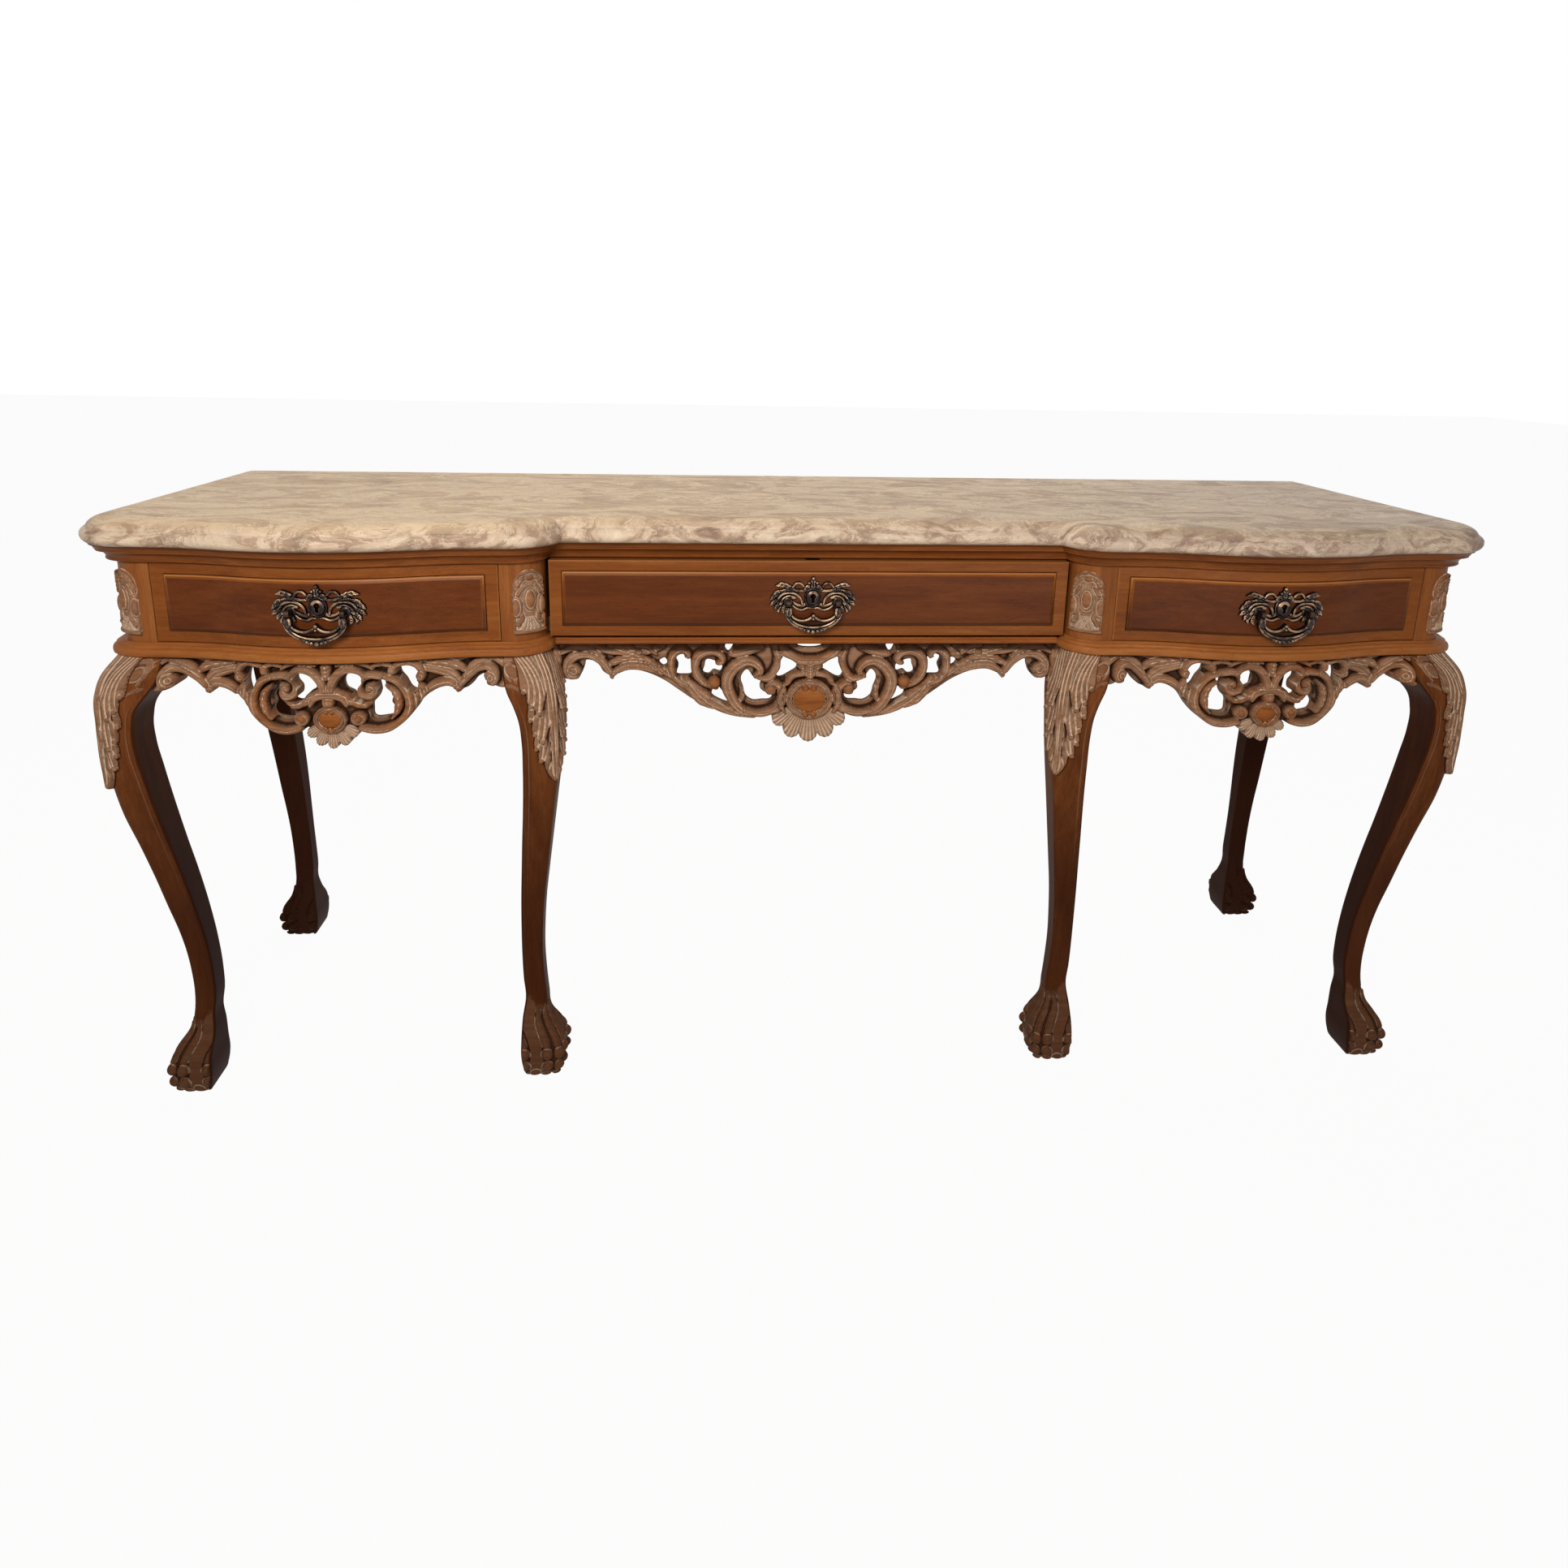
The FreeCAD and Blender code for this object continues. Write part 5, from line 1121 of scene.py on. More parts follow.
def leg_mesh(side, front, shift, leaf):
    """A leg for a corner at the origin that faces +X and -Y."""
    out_x = leg_lines(side[0], shift[0], False)
    in_x = leg_lines(side[1], shift[0], True)
    out_y = leg_lines(front[0], shift[1], False)
    in_y = leg_lines(front[1], shift[1], True)
    radius = hermite(*zip(*ARRIS), LEG_DROPS)
    rows, arcs, ends = [], [], []
    for level in zip(out_x, in_x, out_y, in_y, radius):
        ring, normal = leg_section(*level)
        steps = np.linalg.norm(np.diff(ring, axis=0), axis=1)
        arc = np.concatenate([[0.0], np.cumsum(steps)])
        middle = arc[LEG_COLUMNS[0] + LEG_COLUMNS[1] // 2]
        rows.append(np.hstack([ring, normal]))
        arcs.append(middle - arc)
        ends.append(middle)
    data, a, ends = np.array(rows), np.array(arcs), np.array(ends)
    z = np.repeat(Z_BOARD - LEG_DROPS[:, None], a.shape[1], axis=1)
    bounds = np.cumsum((0,) + LEG_COLUMNS)
    face = np.zeros(a.shape[1])
    face[:bounds[3]] = 1.0
    toes = a.copy()
    if not leaf:
        face[bounds[3]:bounds[5]] = 1.0
        toes[:, bounds[3]:bounds[5]] = toes[:, bounds[3]:bounds[3] + 1] - toes[:, bounds[3]:bounds[5]]
    reliefs = [(claws, toes, 1.0)]
    if leaf:
        reliefs += [(scroll, a, unit((a - SCROLL_START) / SCROLL_FADE)), (knee, a, 1.0)]
    rise, lime = np.zeros(a.shape), np.zeros(a.shape)
    cavity, depth = np.full(a.shape, 0.5), np.full(a.shape, 0.5)
    for relief, across, share in reliefs:
        raised = sample(relief, relief.z, across, z) * face * share
        washed = sample(relief, relief.lime, across, z) * face * share
        use = (washed > SOME_WASH) | (np.abs(raised) > SOME_RISE)
        rise = np.where(use, raised, rise)
        lime = np.where(use, washed, lime)
        cavity = np.where(use, sample(relief, relief.cavity, across, z), cavity)
        depth = np.where(use, sample(relief, relief.depth, across, z), depth)
    edge = ends[:, None] - a
    fade = np.interp(z, *BEAD_FADE) * face * (a > 0.0)
    fade = fade * (1.0 if leaf else 0.0)
    bead = swell_at(edge, BEAD_IN, BEAD_WIDTH)
    quirk = swell_at(edge, QUIRK_IN, QUIRK_WIDTH)
    rise = rise + fade * (BEAD_RISE * bead - QUIRK_DEEP * quirk)
    lime = np.maximum(lime, QUIRK_WASH * quirk * np.interp(z, *QUIRK_FADE) * fade)
    cavity = np.maximum(cavity, 0.5 + 0.3 * fade * quirk)
    # Painted shade: the inner and back faces of the leg are marked deep, so their wood darkens
    depth[:, bounds[3]:] = np.maximum(depth[:, bounds[3]:], INNER_SHADE)
    front_reach = LEG_REACH if leaf else REAR_REACH
    points = np.stack([np.minimum(data[..., 0] + rise * data[..., 2], LEG_REACH),
                       np.maximum(data[..., 1] + rise * data[..., 3], -front_reach), z], -1)
    lids = np.array([points[0].mean(0), points[-1].mean(0)])
    values = {"lime": np.append(lime.ravel(), (0.0, 0.0)), "cavity": np.append(cavity.ravel(), (0.5, 0.5)),
              "depth": np.append(depth.ravel(), (0.5, 0.5))}
    return np.vstack([points.reshape(-1, 3), lids]), tube_faces(*a.shape), values


END_SHIFT, INNER_SHIFT = (6.0, 6.0), (8.0, 18.0)
REAR_CORNER = Y_BACK - 6.0
end_lines = (END_OUTER, END_INNER)
inner_sides, inner_fronts = (INNER_OUTER, INNER_INNER), (INNER_FRONT, INNER_BACK)
legs = (("leg_front", end_lines, end_lines, END_SHIFT, True, X_OUTER, Y_FRONT, False),
        ("leg_inner", inner_sides, inner_fronts, INNER_SHIFT, True, -X_INNER, Y_FRONT, False),
        ("leg_rear", end_lines, (REAR_BACK, END_INNER), END_SHIFT, False, X_OUTER, REAR_CORNER, True))
for kind, side, front, shift, leaf, x, y, flip in legs:
    points, faces, values = leg_mesh(side, front, shift, leaf)
    if flip:
        points, faces = points * np.array([1.0, -1.0, 1.0]), turned(faces)
    points = points + np.array([x, y, 0.0])
    sides = ("_left", "_right") if x < 0 else ("_right", "_left")
    pair("carved_" + kind, kind, points, faces, leg_carved, LEG_SHARP, values, sides)


# Plan lines and moulded edges
CORNICE_JOINT = 350.0
RAIL_BACK = 22.0
Y_WALL = Y_BACK + 6.0
STRIP_BACK = -25.0
END_SPREAD, END_START = 6.5, X_OUTER + STRIP_BACK
MOULDED_SHARP = 24.0
RAIL_SHARP = 30.0
ARC_COUNT, BOW_COUNT, END_COUNT, MIDDLE_COUNT = 16, 77, 8, 21


def pavilion_half(reach, start):
    """Right pavilion from its inner corner to its outer corner, moved outward by reach."""
    radius = CORNER + reach
    level = Y_FRONT + CORNER
    inner_arc = [(X_INNER + CORNER + radius * math.cos(a), level + radius * math.sin(a))
                 for a in np.radians(np.linspace(start, 270.0, ARC_COUNT))]
    bow = np.linspace(-BOW_HALF, BOW_HALF, BOW_COUNT)
    outer_arc = [(X_OUTER - CORNER + radius * math.cos(a), level + radius * math.sin(a))
                 for a in np.radians(np.linspace(270.0, 360.0, ARC_COUNT))]
    return np.vstack([inner_arc, np.stack([bow + X_PAVILION, bow_y(bow, reach)], 1), outer_arc])


def whole_line(reach, back):
    """Front and ends of the whole table at a reach past the case, from left to right."""
    crease = Y_CENTRE - reach
    level = Y_FRONT + CORNER
    sine = max(0.0, (level - crease) / (CORNER + reach))
    half = pavilion_half(reach, 180.0 + math.degrees(math.asin(sine)))
    depths = np.linspace(level, back, END_COUNT + 1)[1:]
    end = np.stack([np.full(END_COUNT, X_OUTER + reach), depths], 1)
    right = np.vstack([[(half[0, 0], crease)], half, end])
    across = np.linspace(-CORNICE_JOINT, CORNICE_JOINT, MIDDLE_COUNT)
    middle = np.stack([across, np.full(MIDDLE_COUNT, crease)], 1)
    return np.vstack([right[::-1] * np.array([-1.0, 1.0]), middle, right])


def pavilion_line(reach, back):
    """Front and sides of the right pavilion, with the step behind the centre rail."""
    step = Y_CENTRE + RAIL_BACK
    half = pavilion_half(reach, 180.0)
    return np.vstack([[(X_INNER, back), (X_INNER, step), (X_INNER - reach, step)], half,
                      [(X_OUTER + reach, back)]])


def moulding_rows(line, section, base, back):
    """Points of a plan line at each reach and height of a section, row by row."""
    plans = [line(reach, back) for reach, _ in section]
    levels = [base + height for _, height in section]
    return [np.column_stack([plan, np.full(len(plan), level)]) for plan, level in zip(plans, levels)]


def closed_board(rows):
    """A board whose rim follows a profile, with its top and its underside."""
    count, cols = len(rows), len(rows[0])
    faces = grid_faces(count, cols)
    for i in range(count - 1):
        faces.append([(i + 1) * cols - 1, i * cols, (i + 1) * cols, (i + 2) * cols - 1])
    faces.append(list(range((count - 1) * cols, count * cols)))
    faces.append(list(range(cols))[::-1])
    return np.vstack(rows), faces


def closed_strip(rows):
    """A length of moulding, closed along its back and at both ends."""
    count, cols = len(rows), len(rows[0])
    faces = grid_faces(count, cols)
    for j in range(cols - 1):
        faces.append([(count - 1) * cols + j, (count - 1) * cols + j + 1, j + 1, j])
    faces.append([i * cols for i in range(count)])
    faces.append([(i + 1) * cols - 1 for i in range(count)][::-1])
    return np.vstack(rows), faces


def spread_ends(points):
    """Draws the face of a moulding out a little at the ends of the case."""
    share = smooth_share(np.abs(points[:, 0]), END_START, X_OUTER)
    return points + np.outer(END_SPREAD * share * np.sign(points[:, 0]), (1.0, 0.0, 0.0))


marble_profile = (
    (24.0, 0.0), (29.5, 0.8), (33.6, 3.0), (36.4, 6.4), (37.8, 10.6), (37.4, 14.8), (35.4, 18.2),
    (32.4, 20.6), (30.6, 21.4), (30.0, 22.0), (29.4, 23.6), (27.6, 26.4), (24.6, 29.2), (20.6, 31.6),
    (15.6, 33.5), (10.0, 34.7), (4.0, 35.0))
points, faces = closed_board(moulding_rows(whole_line, marble_profile, Z_MARBLE, Y_WALL))
piece("marble_slab", points, faces, "table", marble, ["marble_top"], MOULDED_SHARP)

cornice_section = (
    (3.0, 0.0), (5.4, 0.3), (6.6, 1.4), (6.8, 3.2), (5.9, 4.4), (6.2, 5.4), (7.0, 7.6), (8.8, 10.4),
    (12.0, 12.9), (16.4, 14.4), (17.6, 14.6), (17.8, 17.4), (19.2, 17.6), (19.6, 19.0), (20.8, 21.2),
    (22.8, 22.8), (24.4, 23.2), (24.8, 25.0), (STRIP_BACK, 25.0), (STRIP_BACK, 0.0))
cornice_rows = moulding_rows(whole_line, cornice_section, Z_CORNICE, Y_BACK)
columns = len(cornice_rows[0])
joint = columns // 2 - MIDDLE_COUNT // 2
for name, first, last in (("left", 0, joint + 1), ("centre", joint, columns - joint),
                          ("right", columns - joint - 1, columns)):
    points, faces = closed_strip([row[first:last] for row in cornice_rows])
    piece("cornice_moulding_" + name, spread_ends(points), faces, "table", cornice_shaded_wood,
          ["cornice_" + name], MOULDED_SHARP)

base_profile = (
    (7.5, 0.0), (10.2, 0.5), (11.8, 2.2), (12.4, 5.0), (12.2, 8.0), (11.2, 10.6), (9.2, 12.2),
    (7.8, 12.7), (7.4, 13.2), (7.3, 15.4), (6.4, 16.0), (4.6, 16.6), (3.0, 17.8), (1.8, 19.0))
points, faces = closed_board(moulding_rows(pavilion_line, base_profile, Z_BOARD, Y_BACK))
pair("base_board", "bottom_board", spread_ends(points), faces, base_wood, MOULDED_SHARP)

rail_section = ((22.0, 694.0), (-8.5, 694.0), (-11.0, 695.0), (-12.0, 697.6), (-11.4, 700.0), (-9.8, 701.0),
                (-9.8, 702.6), (-9.0, 703.8), (-8.0, 704.0), (22.0, 704.0))
rail_x = np.linspace(-364.0, 364.0, 29)
points, faces = closed_strip([np.array([(x, Y_CENTRE + y, z) for x in rail_x]) for y, z in rail_section])
piece("rail_moulding", points, faces, "table", case_x, ["centre_rail"], RAIL_SHARP)


# Drawer fronts: a fielded panel with a bevel, a quirk round it and a keyhole
FRONT_LOW, FRONT_HIGH = 710.0, 819.0
FIELD_SIDE, FIELD_TOP, FIELD_BEVEL, FIELD_RISE = 18.0, 15.5, 5.5, 3.5
FRONT_BACK, FRONT_SHARP = 20.0, 20.0
FIELD_STEP, QUIRK_AT, QUIRK_CUT, EDGE_ROUND = 0.25, -0.5, 0.9, 1.6
EDGE_STOPS = (0.0, 0.4, 0.9, 1.6, 3.0)
BEVEL_STOPS = (-4.0, -1.2, -0.5, 0.0, 0.4, 1.6, 3.0, 4.4, 5.5, 6.2, 9.0)
KEY_RADIUS, KEY_SLOT, KEY_DROP, KEY_DEEP = 2.9, 1.5, 8.0, 9.0
KEY_STOPS, KEY_MIDDLE, KEY_CLEAR = np.arange(-9.1, 9.2, 0.7), 3.0, 10.0
BROAD_STEP, BROAD_IN, BROAD_SLACK = 6.0, 12.0, 20.0
QUIRK_HALF, FLAT_SLACK = 0.5, 0.8
# Painted highlight along the upper bevel, real wear round the outer edges, and painted shade on the lower
# and side bevels
BEVEL_HIGHLIGHT_AT, BEVEL_HIGHLIGHT_WIDTH, HIGHLIGHT_AND_WEAR_PALE, EDGE_WEAR, WEAR_REACH = 1.4, 1.3, 0.4, 0.5, 2.0
SHADE_AT, SHADE_WIDTH, SIDE_SHADE = 2.4, 2.4, 0.9


def front_stops(low, high, margin, keyhole):
    """Places of grid lines across a drawer front, close at its edges, bevels and keyhole."""
    side = np.concatenate([EDGE_STOPS, margin + np.array(BEVEL_STOPS)])
    hole = keyhole + KEY_STOPS
    count = int((high - low - 2.0 * margin - BROAD_SLACK) / BROAD_STEP)
    broad = np.linspace(low + margin + BROAD_IN, high - margin - BROAD_IN, count)
    broad = broad[np.abs(broad - keyhole) > KEY_CLEAR]
    return np.unique(np.round(np.concatenate([low + side, high - side, hole, broad]), 3))


def fielded_front(name, x, half, face, back):
    """A drawer front whose face follows a line, flat behind, with a raised and bevelled field."""
    us = front_stops(-half, half, FIELD_SIDE, 0.0)
    ks = front_stops(FRONT_LOW, FRONT_HIGH, FIELD_TOP, Z_KEYHOLE - KEY_MIDDLE)
    u, k = np.meshgrid(us, ks)
    inside = np.minimum(half - np.abs(u), np.minimum(k - FRONT_LOW, FRONT_HIGH - k))
    field = np.minimum(half - FIELD_SIDE - np.abs(u), np.minimum(k - FRONT_LOW, FRONT_HIGH - k) - FIELD_TOP)
    rise = FIELD_RISE * (FIELD_STEP + (1.0 - FIELD_STEP) * unit(field / FIELD_BEVEL)) * (field > -0.01)
    quirk = swell_at(field, QUIRK_AT, QUIRK_HALF)
    rise = rise - QUIRK_CUT * quirk - unit(1.0 - inside / EDGE_ROUND) ** 2
    slot = (np.abs(u) < KEY_SLOT) & (k < Z_KEYHOLE) & (k > Z_KEYHOLE - KEY_DROP)
    key = (np.hypot(u, k - Z_KEYHOLE) < KEY_RADIUS) | slot
    rise = np.where(key, -KEY_DEEP, rise)
    rows, cols = u.shape
    front = np.stack([u + x, face(u) - rise, k], -1).reshape(-1, 3)
    rear = front.copy()
    rear[:, 1] = back
    loop = (list(range(cols)) + [i * cols + cols - 1 for i in range(1, rows)]
            + [(rows - 1) * cols + j for j in range(cols - 2, -1, -1)]
            + [i * cols for i in range(rows - 2, 0, -1)])
    start = rows * cols
    faces = grid_faces(rows, cols)
    for m in range(len(loop)):
        n = (m + 1) % len(loop)
        faces.append([loop[n], loop[m], start + m, start + n])
    faces.append([start + m for m in range(len(loop))][::-1])
    shade = np.where(field > FIELD_BEVEL - FLAT_SLACK, 1.0, 0.0).ravel()
    upper = unit((k - FRONT_LOW) / (FRONT_HIGH - FRONT_LOW) * 1.6 - 0.5)
    # Painted highlight along the upper part of the bevel, with real wear round the outer edge of the front
    worn = swell_at(field, BEVEL_HIGHLIGHT_AT, BEVEL_HIGHLIGHT_WIDTH) * upper + EDGE_WEAR * unit(1.0 - inside / WEAR_REACH)
    # Painted shade on the lower and side bevels; with the quirk and the keyhole it darkens the wood through
    # cavity
    shaded = swell_at(k - FRONT_LOW - FIELD_TOP, SHADE_AT, SHADE_WIDTH) * (field > -1.0)
    sides = SIDE_SHADE * swell_at(field, SHADE_AT, SHADE_WIDTH) * (1.0 - upper)
    dark = 0.5 + 0.5 * quirk + 0.5 * np.maximum(shaded, sides) - HIGHLIGHT_AND_WEAR_PALE * worn
    depth = np.where(key, 1.0, dark).ravel()
    values = {"field": np.append(shade, np.zeros(len(loop))),
              "cavity": np.append(depth, np.full(len(loop), 0.5))}
    piece("fielded_front_" + name, np.vstack([front, rear[loop]]), faces, "drawer_" + name,
          front_wood, ["drawer_front_" + name], FRONT_SHARP, values)


CENTRE_BOARD = Y_CENTRE - FRONT_BACK
fielded_front("left", -X_PAVILION, BOW_HALF - 1.0, bow_y, Y_FRONT + FRONT_BACK)
fielded_front("right", X_PAVILION, BOW_HALF - 1.0, bow_y, Y_FRONT + FRONT_BACK)
fielded_front("centre", 0.0, X_INNER - 7.0, lambda u: np.full(u.shape, CENTRE_BOARD), Y_CENTRE)


# Rounded corner stiles and their carved tablets
stile_arc = arc_points((X_INNER + CORNER, Y_FRONT + CORNER), CORNER, 180, 270, 24)
JOINT = X_INNER + STILE
stile_plan = stile_arc + [(JOINT - 0.9, Y_FRONT), (JOINT - 0.2, Y_FRONT + 0.2), (JOINT, Y_FRONT + 0.9),
                          (JOINT, Y_FRONT + STILE), (X_INNER, Y_FRONT + STILE)]
levels = np.linspace(Z_FRIEZE, Z_CORNICE, 5)
stile_points = np.array([(x, y, z) for z in levels for x, y in stile_plan])
cols = len(stile_plan)
stile_faces = grid_faces(len(levels), cols, wrap=True)
stile_faces.append(list(range(cols))[::-1])
stile_faces.append([(len(levels) - 1) * cols + j for j in range(cols)])
opposite = mirrored(stile_points) + np.array([2.0 * X_PAVILION, 0.0, 0.0])
for name, points, faces in (("inner", stile_points, stile_faces), ("outer", opposite, turned(stile_faces))):
    pair("corner_stile_" + name, "stile_" + name, points, faces, case_z)


TABLET_PALE, TABLET_GAIN = 0.03, 1.7
TABLET_RADIUS, TABLET_SEAT = CORNER + 1.2, CORNER - 2.0


def tablet_field():
    """Half of a carved tablet: an arched frame round leaves, a shell and an oval boss."""
    f = Relief(25.4, 717.0, 813.0, 0.6)
    arch = arc_points((0.0, 786.0), 24.0, 0, 90, 24)
    f.edge(whole(np.vstack([[(0.0, 720.0), (24.0, 720.0)], arch])))
    f.z[:] = 0.2
    f.stroke([(22.2, 724), (22.2, 750), (22.2, 786), (16, 801.6), (0, 808.2)], 3.0, 1.0, 1.0, 0.8, 1.4, 1,
             "round")
    f.stroke([(20, 770), (19.5, 784), (14, 795), (7, 800)], 8.0, 0.5, 0.5, 0.4, 2.0, 3, "leaf")
    f.stroke([(18.5, 772), (14, 781), (8.5, 787)], 6.0, 0.6, 0.5, 0.3, 1.9, 2, "band")
    f.ball((18.4, 758.0), 8.0, 0.3, 1.8, oval=1.9)
    f.ball((19.6, 758.0), 5.4, 1.0, 1.9, lime=0.8, oval=2.1)
    f.stroke([(11, 748), (12.5, 740), (17, 735)], 6.0, 0.5, 0.8, 0.4, 2.0, 2, "band")
    f.ball((17.0, 734.0), 3.6, 0.8, 2.0)
    f.shell((0.0, 752.0), 10.0, 22.0, 30.0, 5, 0.2, 2.2)
    f.ball((0.0, 799.0), 7.4, 0.4, 1.6, oval=0.62)
    f.ball((0.0, 799.0), 5.2, 1.0, 1.6, lime=0.6, oval=0.62)
    f.ball((0.0, 768.0), 9.4, 0.6, 1.6, oval=1.75)
    f.ball((0.0, 768.5), 6.2, 1.2, 1.6, lime=0.55, oval=2.0, groove=1.6)
    f.stroke([(0, 722.5), (24, 722.5)], 5.0, 1.0, 1.0, 1.4, 1.6, 1, "round")
    f.settle(1.4, 2.0, TABLET_GAIN)
    f.cavity = unit(f.cavity + TABLET_PALE)
    return f


tablet = tablet_field()


def on_stile(x, turn):
    """Front view of a tablet bent round the corner of a stile."""
    def bend(h, k, radius):
        angle = math.radians(turn) + h / TABLET_RADIUS
        return np.stack([x + radius * np.cos(angle), Y_FRONT + CORNER + radius * np.sin(angle), k], 1)
    return lambda h, k, z: bend(h, k, TABLET_RADIUS + z), lambda h, k: bend(h, k, TABLET_SEAT)


for name, x, turn in (("inner", X_INNER + CORNER, 234.0), ("outer", X_OUTER - CORNER, 306.0)):
    points, faces, values = tablet.build(*on_stile(x, turn))
    pair("tablet_" + name, "", points, faces, carved, CARVED_SHARP, values)


# Cast handles: pierced plates on the drawers, and the swinging bails
PLATE_GROOVE, BAIL_GROOVE, BAIL_BALL_GROOVE = 0.8, 0.7, 0.6
HANDLE_ROLL = 0.9
DOME, DOME_DROP, DOME_OVAL = 10.0, 2.5, 1.14
# Painted highlight: a golden crescent on the upper rim of the rosette dome
ROSETTE_HIGHLIGHT_AT, ROSETTE_HIGHLIGHT_WIDTH, ROSETTE_HIGHLIGHT_RISE, ROSETTE_HIGHLIGHT_SHARE = 0.70, 0.17, 5.0, 0.5


def keyed(points):
    """Points of a front view drawn round the keyhole."""
    return [(h, Z_KEYHOLE + k) for h, k in points]


def plate_field(step):
    """Openwork leaves and scrolls round a domed rosette with a keyhole."""
    f = Relief(63.0, Z_KEYHOLE - 31.0, Z_KEYHOLE + 31.0, step)
    f.openwork()
    leaves = (((40, -13), (42, -20), (40, -27), 6.5), ((45, -13), (49, -20), (48, -25), 5.5),
              ((33, -13), (33, -18), (30, -22), 5.5), ((46, -9), (51, -15), (54, -20), 7.0),
              ((47, -4), (54, -8), (60, -13), 7.5), ((47, 2), (54, 0), (60, -5), 7.5),
              ((44, 7), (50, 6), (56, 2), 6.5))
    scrolls = (
        (((9, -9), (14, -13), (20, -13), (28, -9)), 5.0, 0.9, 0.9, 0.2, 2.4, 2, "band"),
        (((0, -16.5), (7, -17), (15, -20), (23, -18), (30, -12)), 4.4, 0.9, 0.9, 0.4, 2.4, 1, "round"),
        (((26, -2), (33, -1), (40, -4), (46, -11)), 8.0, 0.6, 0.7, 0.2, 2.8, 2, "band"),
        (((15, -12), (17, -4), (24, 3), (34, 5.5), (43, 3), (50, -4)), 5.0, 0.7, 0.6, 0.6, 2.8, 2, "band"),
        (((28, 11), (36, 14), (44, 16.5), (53, 15)), 8.5, 0.5, 0.3, 0.4, 2.6, 2, "leaf"),
        (((26, 8), (36, 9), (46, 8)), 5.4, 0.7, 0.5, 0.2, 2.4, 3, "leaf"),
        (((8, 10), (16, 8), (24, 8.5), (31, 11)), 5.0, 0.9, 0.8, 0.4, 2.4, 2, "band"),
        (((9, 11), (13, 14), (18, 18.5), (24, 18.5), (29, 13)), 4.4, 0.9, 0.9, 0.4, 2.6, 1, "round"),
        (((0, 12), (8, 14), (12, 10)), 6.0, 1.0, 0.7, 0.2, 2.4, 2, "band"),
        (((0, 13), (0, 26)), 9.0, 0.9, 0.5, 0.4, 2.8, 2, "leaf"))
    balls = (
        (5.6, 19.0, 2.6, 0.6, 2.2, 1.0), (0.0, 25.6, 3.0, 0.8, 2.6, 1.0),
        (35.0, -8.6, 7.0, 0.4, 2.0, 1.0), (0.0, -DOME_DROP, 12.6, 0.2, 1.6, DOME_OVAL),
        (0.0, -DOME_DROP, DOME, 1.0, 3.4, DOME_OVAL))
    for *line, width in leaves:
        f.stroke(keyed(line), width, 0.7, 0.35, 0.2, 2.4, 2, "leaf", PLATE_GROOVE)
    for line, *shape in scrolls:
        f.stroke(keyed(line), *shape, PLATE_GROOVE)
    for h, k, radius, level, rise, oval in balls:
        f.ball((h, Z_KEYHOLE + k), radius, level, rise, oval=oval, groove=PLATE_GROOVE)
    key = arc_points((0.0, Z_KEYHOLE), 3.4, -62, 242, 20)
    f.edge(np.array(key + keyed([(-1.6, -8.6), (1.6, -8.6)])), hole=True)
    f.settle(HANDLE_ROLL)
    # Painted highlight, not rubbing: a crescent on the upper rim of the dome lowers the cavity, so the
    # brass turns golden there as if lit from above
    share = np.hypot(f.hh, (f.kk - Z_KEYHOLE + DOME_DROP) / DOME_OVAL) / DOME
    rubbed = swell_at(share, ROSETTE_HIGHLIGHT_AT, ROSETTE_HIGHLIGHT_WIDTH) * unit((f.kk - Z_KEYHOLE) / ROSETTE_HIGHLIGHT_RISE)
    f.cavity = unit(f.cavity - ROSETTE_HIGHLIGHT_SHARE * f.mirror(rubbed))
    return f


def bail_field(step):
    """A drop handle of two bars that meet at the eyes, with a leaf and beads below."""
    f = Relief(44.0, Z_KEYHOLE - 56.0, Z_KEYHOLE - 14.0, step)
    f.openwork()
    bars = (
        (((33, -23), (26, -29.5), (16, -32.5), (8, -31), (0, -25.5)),
         4.6, 0.9, 1.0, 0.2, 2.4, 1, "round", 0.3),
        (((36.5, -16), (37.2, -22), (34, -30), (26, -37.5), (14, -42.4), (0, -44)),
         7.6, 0.9, 1.0, 0.0, 2.6, 2, "band", 0.15),
        (((34.5, -17), (34.5, -26)), 10.0, 0.9, 0.7, 0.4, 2.6, 2, "leaf", 0.3),
        (((20, -42.5), (12, -46), (4, -48)), 5.4, 0.4, 0.9, 0.6, 2.4, 4, "leaf", 0.3))
    beads = ((0.0, -25.0, 3.2), (0.0, -30.0, 2.2), (0.0, -48.5, 3.6), (6.5, -47.6, 2.8), (12.0, -46.0, 2.4))
    for line, *shape, swell in bars:
        f.stroke(keyed(line), *shape, BAIL_GROOVE, swell=swell)
    for h, k, radius in beads:
        f.ball((h, Z_KEYHOLE + k), radius, 0.9, 2.4, groove=BAIL_BALL_GROOVE)
    f.settle(HANDLE_ROLL)
    return f


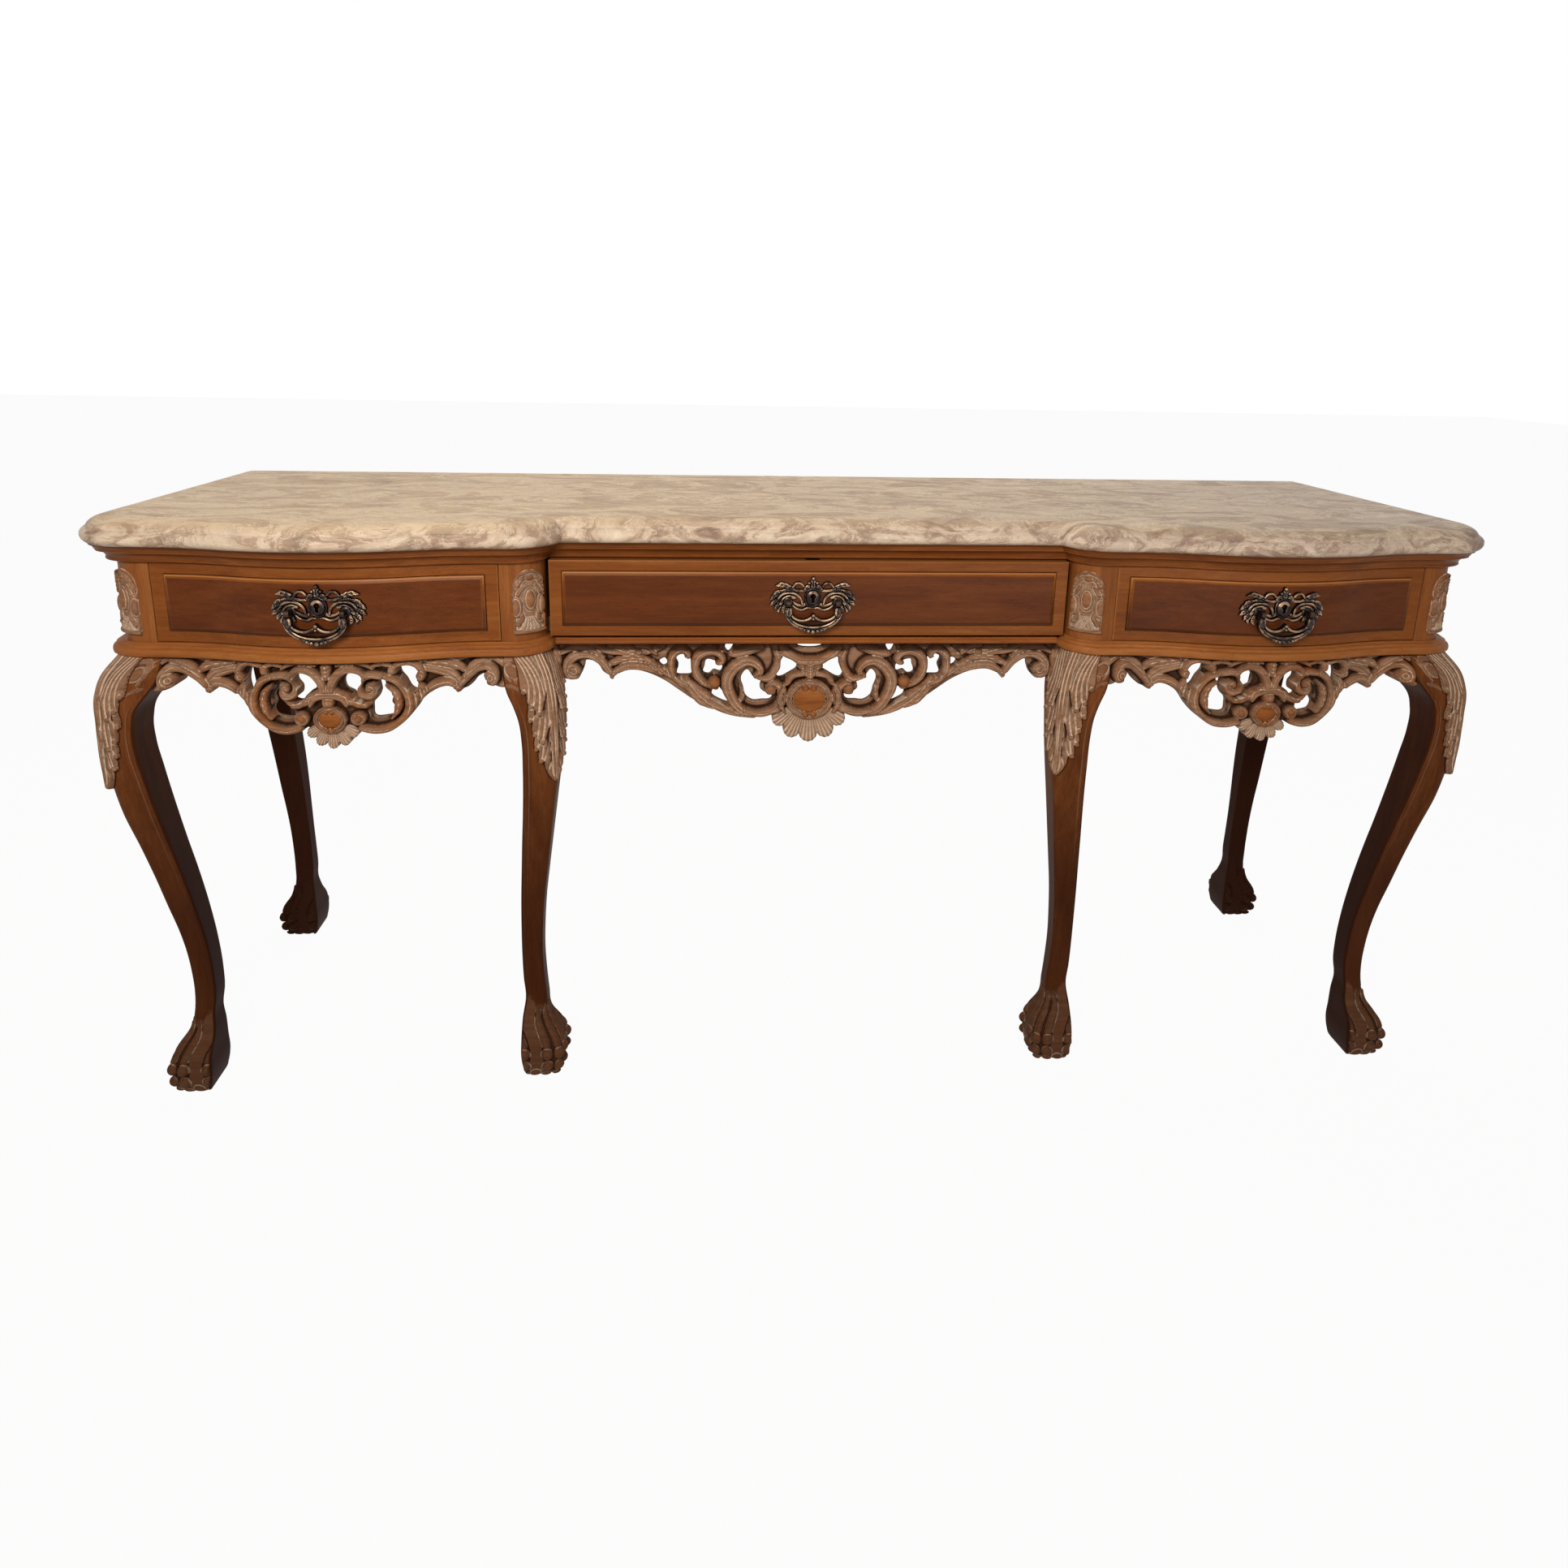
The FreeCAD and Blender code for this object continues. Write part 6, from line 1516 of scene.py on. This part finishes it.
HANDLE_STEP = 0.5
PLATE_REACH, PLATE_BACK = 6.0, 3.4
BAIL_REACH, BAIL_BACK = 18.5, 13.6
CAST_SHARP = 60.0
plate = plate_field(HANDLE_STEP)
bail = bail_field(HANDLE_STEP)
for name, x, face in (("left", -X_PAVILION, bow_y), ("right", X_PAVILION, bow_y),
                      ("centre", 0.0, lambda h: np.full(len(h), CENTRE_BOARD))):
    flat = float(face(np.zeros(1))[0])
    points, faces, values = plate.build(
        lambda h, k, z: np.stack([h + x, face(h) - PLATE_REACH - z, k], 1),
        lambda h, k: np.stack([h + x, face(h) - PLATE_BACK, k], 1))
    piece("cast_plate_" + name, points, faces, "drawer_" + name, cast, ["handle_plate_" + name],
          CAST_SHARP, values)
    points, faces, values = bail.build(
        lambda h, k, z: np.stack([h + x, flat - BAIL_REACH - z, k], 1),
        lambda h, k: np.stack([h + x, np.full(len(h), flat - BAIL_BACK), k], 1))
    piece("cast_bail_" + name, points, faces, "bail_" + name, cast, ["bail_" + name], CAST_SHARP,
          values)


# Floor, light and camera
FLOOR_GLOW = 0.96
WORLD_LIGHT = 0.12
WHITE = (1.0, 1.0, 1.0, 1.0)
FLOOR_COLOUR = (0.50, 0.49, 0.48, 1.0)
SOFT_COLOUR = (1.0, 0.97, 0.93, 1.0)
FLOOR_CORNERS = ((-14, -9, 0), (14, -9, 0), (14, 16, 0), (-14, 16, 0))


def new_node(tree, kind, *values, **settings):
    """A node with its first inputs set or linked."""
    made = tree.nodes.new("ShaderNode" + kind)
    for key, value in settings.items():
        setattr(made, key, value)
    for socket, value in zip(made.inputs, values):
        if isinstance(value, bpy.types.NodeSocket):
            tree.links.new(value, socket)
        else:
            socket.default_value = value
    return made.outputs[0]


def seen_white(tree):
    """One for rays that show the backdrop: straight, mirrored or through glass."""
    path = tree.nodes.new("ShaderNodeLightPath")
    total = path.outputs["Is Camera Ray"]
    for name in ("Is Glossy Ray", "Is Transmission Ray"):
        total = new_node(tree, "Math", total, path.outputs[name], operation="MAXIMUM")
    return total


def plain_floor():
    """Pale floor that a camera sees as white except in the shadow of the table."""
    mesh = bpy.data.meshes.new("floor")
    mesh.from_pydata(FLOOR_CORNERS, [], [(0, 1, 2, 3)])
    obj = bpy.data.objects.new("floor", mesh)
    bpy.context.scene.collection.objects.link(obj)
    mat = bpy.data.materials.new("floor")
    mat.use_nodes = True
    tree = mat.node_tree
    tree.nodes.clear()
    share = new_node(tree, "Math", seen_white(tree), FLOOR_GLOW, operation="MULTIPLY")
    mixed = new_node(tree, "MixShader", share, new_node(tree, "BsdfDiffuse", FLOOR_COLOUR),
                     new_node(tree, "Emission", WHITE))
    tree.links.new(mixed, tree.nodes.new("ShaderNodeOutputMaterial").inputs[0])
    mesh.materials.append(mat)


def plain_world():
    """Soft even light, seen as white."""
    world = bpy.data.worlds.new("studio")
    bpy.context.scene.world = world
    world.use_nodes = True
    tree = world.node_tree
    tree.nodes.clear()
    mixed = new_node(tree, "MixShader", seen_white(tree),
                     new_node(tree, "Background", SOFT_COLOUR, WORLD_LIGHT),
                     new_node(tree, "Background", WHITE))
    tree.links.new(mixed, tree.nodes.new("ShaderNodeOutputWorld").inputs[0])


def lamp(name, place, target, size, power, colour):
    """A rectangular lamp that faces its target."""
    data = bpy.data.lights.new(name, "AREA")
    data.shape = "RECTANGLE"
    data.size, data.size_y = size
    data.energy = power
    data.color = colour
    obj = bpy.data.objects.new(name, data)
    bpy.context.scene.collection.objects.link(obj)
    obj.location = place
    obj.rotation_mode = "QUATERNION"
    obj.rotation_quaternion = (Vector(target) - Vector(place)).to_track_quat("-Z", "Y")


plain_floor()
plain_world()
lamp("key", (-0.55, -1.85, 1.65), (-0.05, -0.1, 0.60), (0.7, 0.45), 32.0, (1.0, 0.93, 0.84))
lamp("fill", (0.75, -2.3, 0.60), (0.3, 0.0, 0.40), (1.4, 0.6), 9.0, (1.0, 0.95, 0.89))
lamp("back", (0.1, 1.6, 3.0), (0.0, 0.1, 0.8), (2.6, 1.2), 44.0, (1.0, 0.95, 0.87))

IMAGE = 1932.0
FOCAL = 1222.69
AXIS = (965.99, 706.47)
SENSOR = 36.0
STAND = (-0.1387, -1.53468, 1.12135)
cam_data = bpy.data.cameras.new("camera")
cam = bpy.data.objects.new("camera", cam_data)
bpy.context.scene.collection.objects.link(cam)
cam_data.sensor_width = SENSOR
cam_data.lens = FOCAL / IMAGE * SENSOR
cam_data.shift_x = (IMAGE / 2.0 - AXIS[0]) / IMAGE
cam_data.shift_y = (AXIS[1] - IMAGE / 2.0) / IMAGE
right = (0.99757, -0.06691, 0.01932)
up = (-0.00348, 0.22928, 0.97336)
back = (-0.06956, -0.97106, 0.22849)
cam.matrix_world = Matrix((*zip(right, up, back, STAND), (0.0, 0.0, 0.0, 1.0)))
bpy.context.scene.camera = cam
bpy.context.scene.view_settings.view_transform = "Standard"
